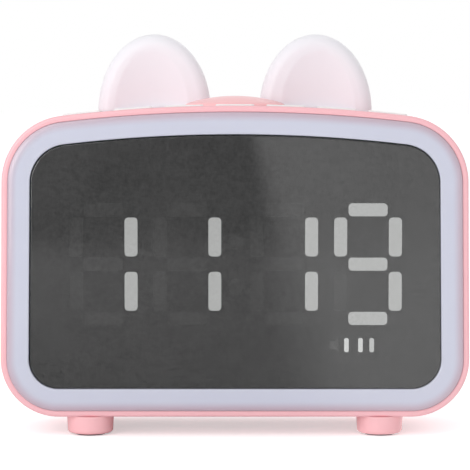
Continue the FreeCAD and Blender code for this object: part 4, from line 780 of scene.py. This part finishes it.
# Main board's parts: black epoxy chips, aluminium cans with a bare top, and nylon wire sockets.
# All are soldered to the green board.
chip = moulded("chip_black", rgb(28, 28, 30), rgb(22, 22, 24), roughness=0.55, grain=0.3)
dress(["chips"], chip)
can = moulded("capacitor_can", rgb(190, 192, 196), rgb(176, 178, 184), roughness=0.3, grain=0.1,
              sockets=bare_metal)
dress(["capacitors"], can)
nylon = moulded("socket_white", rgb(236, 233, 224), rgb(228, 225, 216), roughness=0.5, grain=0.1)
dress(["wire_sockets"], nylon)

# Speaker: a pressed paper cone over a dark iron magnet, with a foam ring that seals it
# against the rear cover.
foam = moulded("foam", rgb(40, 40, 42), rgb(30, 30, 32), roughness=0.95, grain=0.9)
dress(["speaker_gasket"], foam)
paper = moulded("speaker_paper", rgb(34, 33, 32), rgb(24, 23, 22), roughness=0.8, grain=0.6)
dress(["speaker_cone"], paper)
iron = moulded("magnet_iron", rgb(96, 96, 100), rgb(84, 84, 88), roughness=0.4, grain=0.2,
               sockets=bare_metal)
dress(["speaker_magnet"], iron)

# Battery: a round steel cell in a blue shrink sleeve, which leaves both its ends bare.
# It snaps into the black cradle.
cell_low, cell_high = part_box("battery_cell")
BARE_END = 0.0006
sleeve, sleeve_shader, sleeve_place = finish("cell_can", {"Coat Weight": 0.3, "Coat Roughness": 0.2})
along = sleeve_place.node("ShaderNodeSeparateXYZ", {}, {"Vector": sleeve_place})
middle_x = (cell_low.x + cell_high.x) / 2
half_length = (cell_high.x - cell_low.x) / 2
bare = abs(along - middle_x) > half_length - BARE_END
blend(bare, rgb(45, 92, 145), rgb(190, 192, 196)).feed(sleeve_shader, "Base Color")
bare.feed(sleeve_shader, "Metallic")
uneven_gloss(sleeve_place, roughness=0.35, spread=0.1).feed(sleeve_shader, "Roughness")
dress(["battery_cell"], sleeve)

# Ribbons and wires: flat white ribbons and pairs of soft red wires, plugged in at both ends.
# They are cut a little long, and the spare hangs in a loose bend.
ribbon = moulded("ribbon_white", rgb(232, 232, 228), rgb(222, 222, 218), roughness=0.5, grain=0.1)
dress(["display_ribbon", "key_ribbon", "ear_ribbon"], ribbon)
wire = moulded("wire_red", rgb(176, 36, 32), rgb(160, 30, 28), roughness=0.45, grain=0.1)
dress(["battery_wires", "speaker_wires"], wire)

# Floor: a wide pale sheet that keeps the clock's shadow and goes white to the camera.
# What the clock's mirror shows of it is dark on the left of a soft edge, and bright on the right.
FLOOR_SIZE = 40.0
FLOOR_GLOW = 0.45
FLOOR_GLOSS_LEFT = 0.0
FLOOR_GLOSS_RIGHT = 0.9
FLOOR_EDGE_X = 0.03
FLOOR_EDGE_LEAN = 0.0047
FLOOR_EDGE_SOFTNESS = 0.022
bpy.ops.object.select_all(action="DESELECT")
bpy.ops.mesh.primitive_plane_add(size=FLOOR_SIZE, location=(0, 0, 0))
floor = bpy.context.object
floor.name = "floor"


def light_path(tree, name):
    """1 for rays of one kind, such as those from the camera, and 0 for all others."""
    return Field(tree, tree.nodes.new("ShaderNodeLightPath").outputs[name])


floor_paint, floor_shader, floor_place = finish("floor_paint", {
    "Base Color": rgb(248, 248, 248), "Roughness": 0.9, "Specular IOR Level": 0.1,
    "Emission Strength": 1.0})
floor_x, floor_y = (floor_place.node("ShaderNodeSeparateXYZ", {}, {"Vector": floor_place}, output=axis)
                    for axis in (0, 1))
past_edge = floor_x - FLOOR_EDGE_X + floor_y * FLOOR_EDGE_LEAN
bright = past_edge.node("ShaderNodeMapRange", {"interpolation_type": "SMOOTHSTEP"}, {
    "Value": past_edge, "From Min": -FLOOR_EDGE_SOFTNESS, "From Max": FLOOR_EDGE_SOFTNESS})
mirrored = bright * (FLOOR_GLOSS_RIGHT - FLOOR_GLOSS_LEFT) + FLOOR_GLOSS_LEFT
to_camera, through_glass, by_gloss = (light_path(floor_place.tree, name) for name in (
    "Is Camera Ray", "Is Transmission Ray", "Is Glossy Ray"))
((to_camera + through_glass) * FLOOR_GLOW + by_gloss * mirrored).feed(floor_shader, "Emission Color")
floor.data.materials.append(floor_paint)

# Room: an even white room round the clock. The camera, glossy pieces and clear pieces see it
# at full white, and it lights everything else more dimly.
ROOM_LIGHT = 0.66
world = bpy.data.worlds.new("studio")
world.use_nodes = True
bpy.context.scene.world = world
room = world.node_tree
sky = room.nodes["Background"]
sky.inputs["Color"].default_value = (1, 1, 1, 1)
to_camera, by_gloss, through_glass = (light_path(room, name) for name in (
    "Is Camera Ray", "Is Glossy Ray", "Is Transmission Ray"))
((to_camera + by_gloss + through_glass) * (1 - ROOM_LIGHT) + ROOM_LIGHT).feed(sky, "Strength")


# Studio lamps: three large soft discs, one high on the left, one low on the left,
# and one behind the clock that lights its top and the backs of its ears.
def soft_lamp(name, place, target, size, power):
    """Round soft lamp at a place, turned towards its target."""
    lamp = bpy.data.objects.new(name, bpy.data.lights.new(name, "AREA"))
    lamp.data.shape = "DISK"
    lamp.data.size = size
    lamp.data.energy = power
    lamp.location = place
    away = [a - b for a, b in zip(place, target)]
    flat = math.hypot(away[0], away[1])
    lamp.rotation_euler = (math.atan2(flat, away[2]), 0, math.atan2(away[1], away[0]) + math.pi / 2)
    bpy.context.collection.objects.link(lamp)


soft_lamp("key_lamp", place=(-0.48, -0.66, 0.45), target=(0, 0, 0.06), size=0.8, power=2.5)
soft_lamp("low_lamp", place=(-0.5, -0.95, 0.15), target=(0, 0, 0.02), size=0.4, power=1.4)
soft_lamp("back_lamp", place=(0.5, 0.9, 0.7), target=(0, 0, 0.06), size=0.8, power=1.5)

# Camera: straight in front of the clock, level with its top half and looking slightly down.
# Its focal length is the photograph's, measured in that picture's pixels.
CAMERA_DISTANCE = 0.745
CAMERA_HEIGHT = 0.1068
CAMERA_TILT = 3.345
SENSOR_WIDTH = 36.0
FOCAL_PIXELS = 2267.0
PHOTO_PIXELS = 470.0
camera = bpy.data.objects.new("camera", bpy.data.cameras.new("camera"))
camera.data.sensor_width = SENSOR_WIDTH
camera.data.lens = SENSOR_WIDTH * FOCAL_PIXELS / PHOTO_PIXELS
camera.location = (0, -CAMERA_DISTANCE, CAMERA_HEIGHT)
camera.rotation_euler = (math.radians(90 - CAMERA_TILT), 0, 0)
bpy.context.collection.objects.link(camera)
bpy.context.scene.camera = camera
bpy.context.scene.view_settings.view_transform = "Standard"
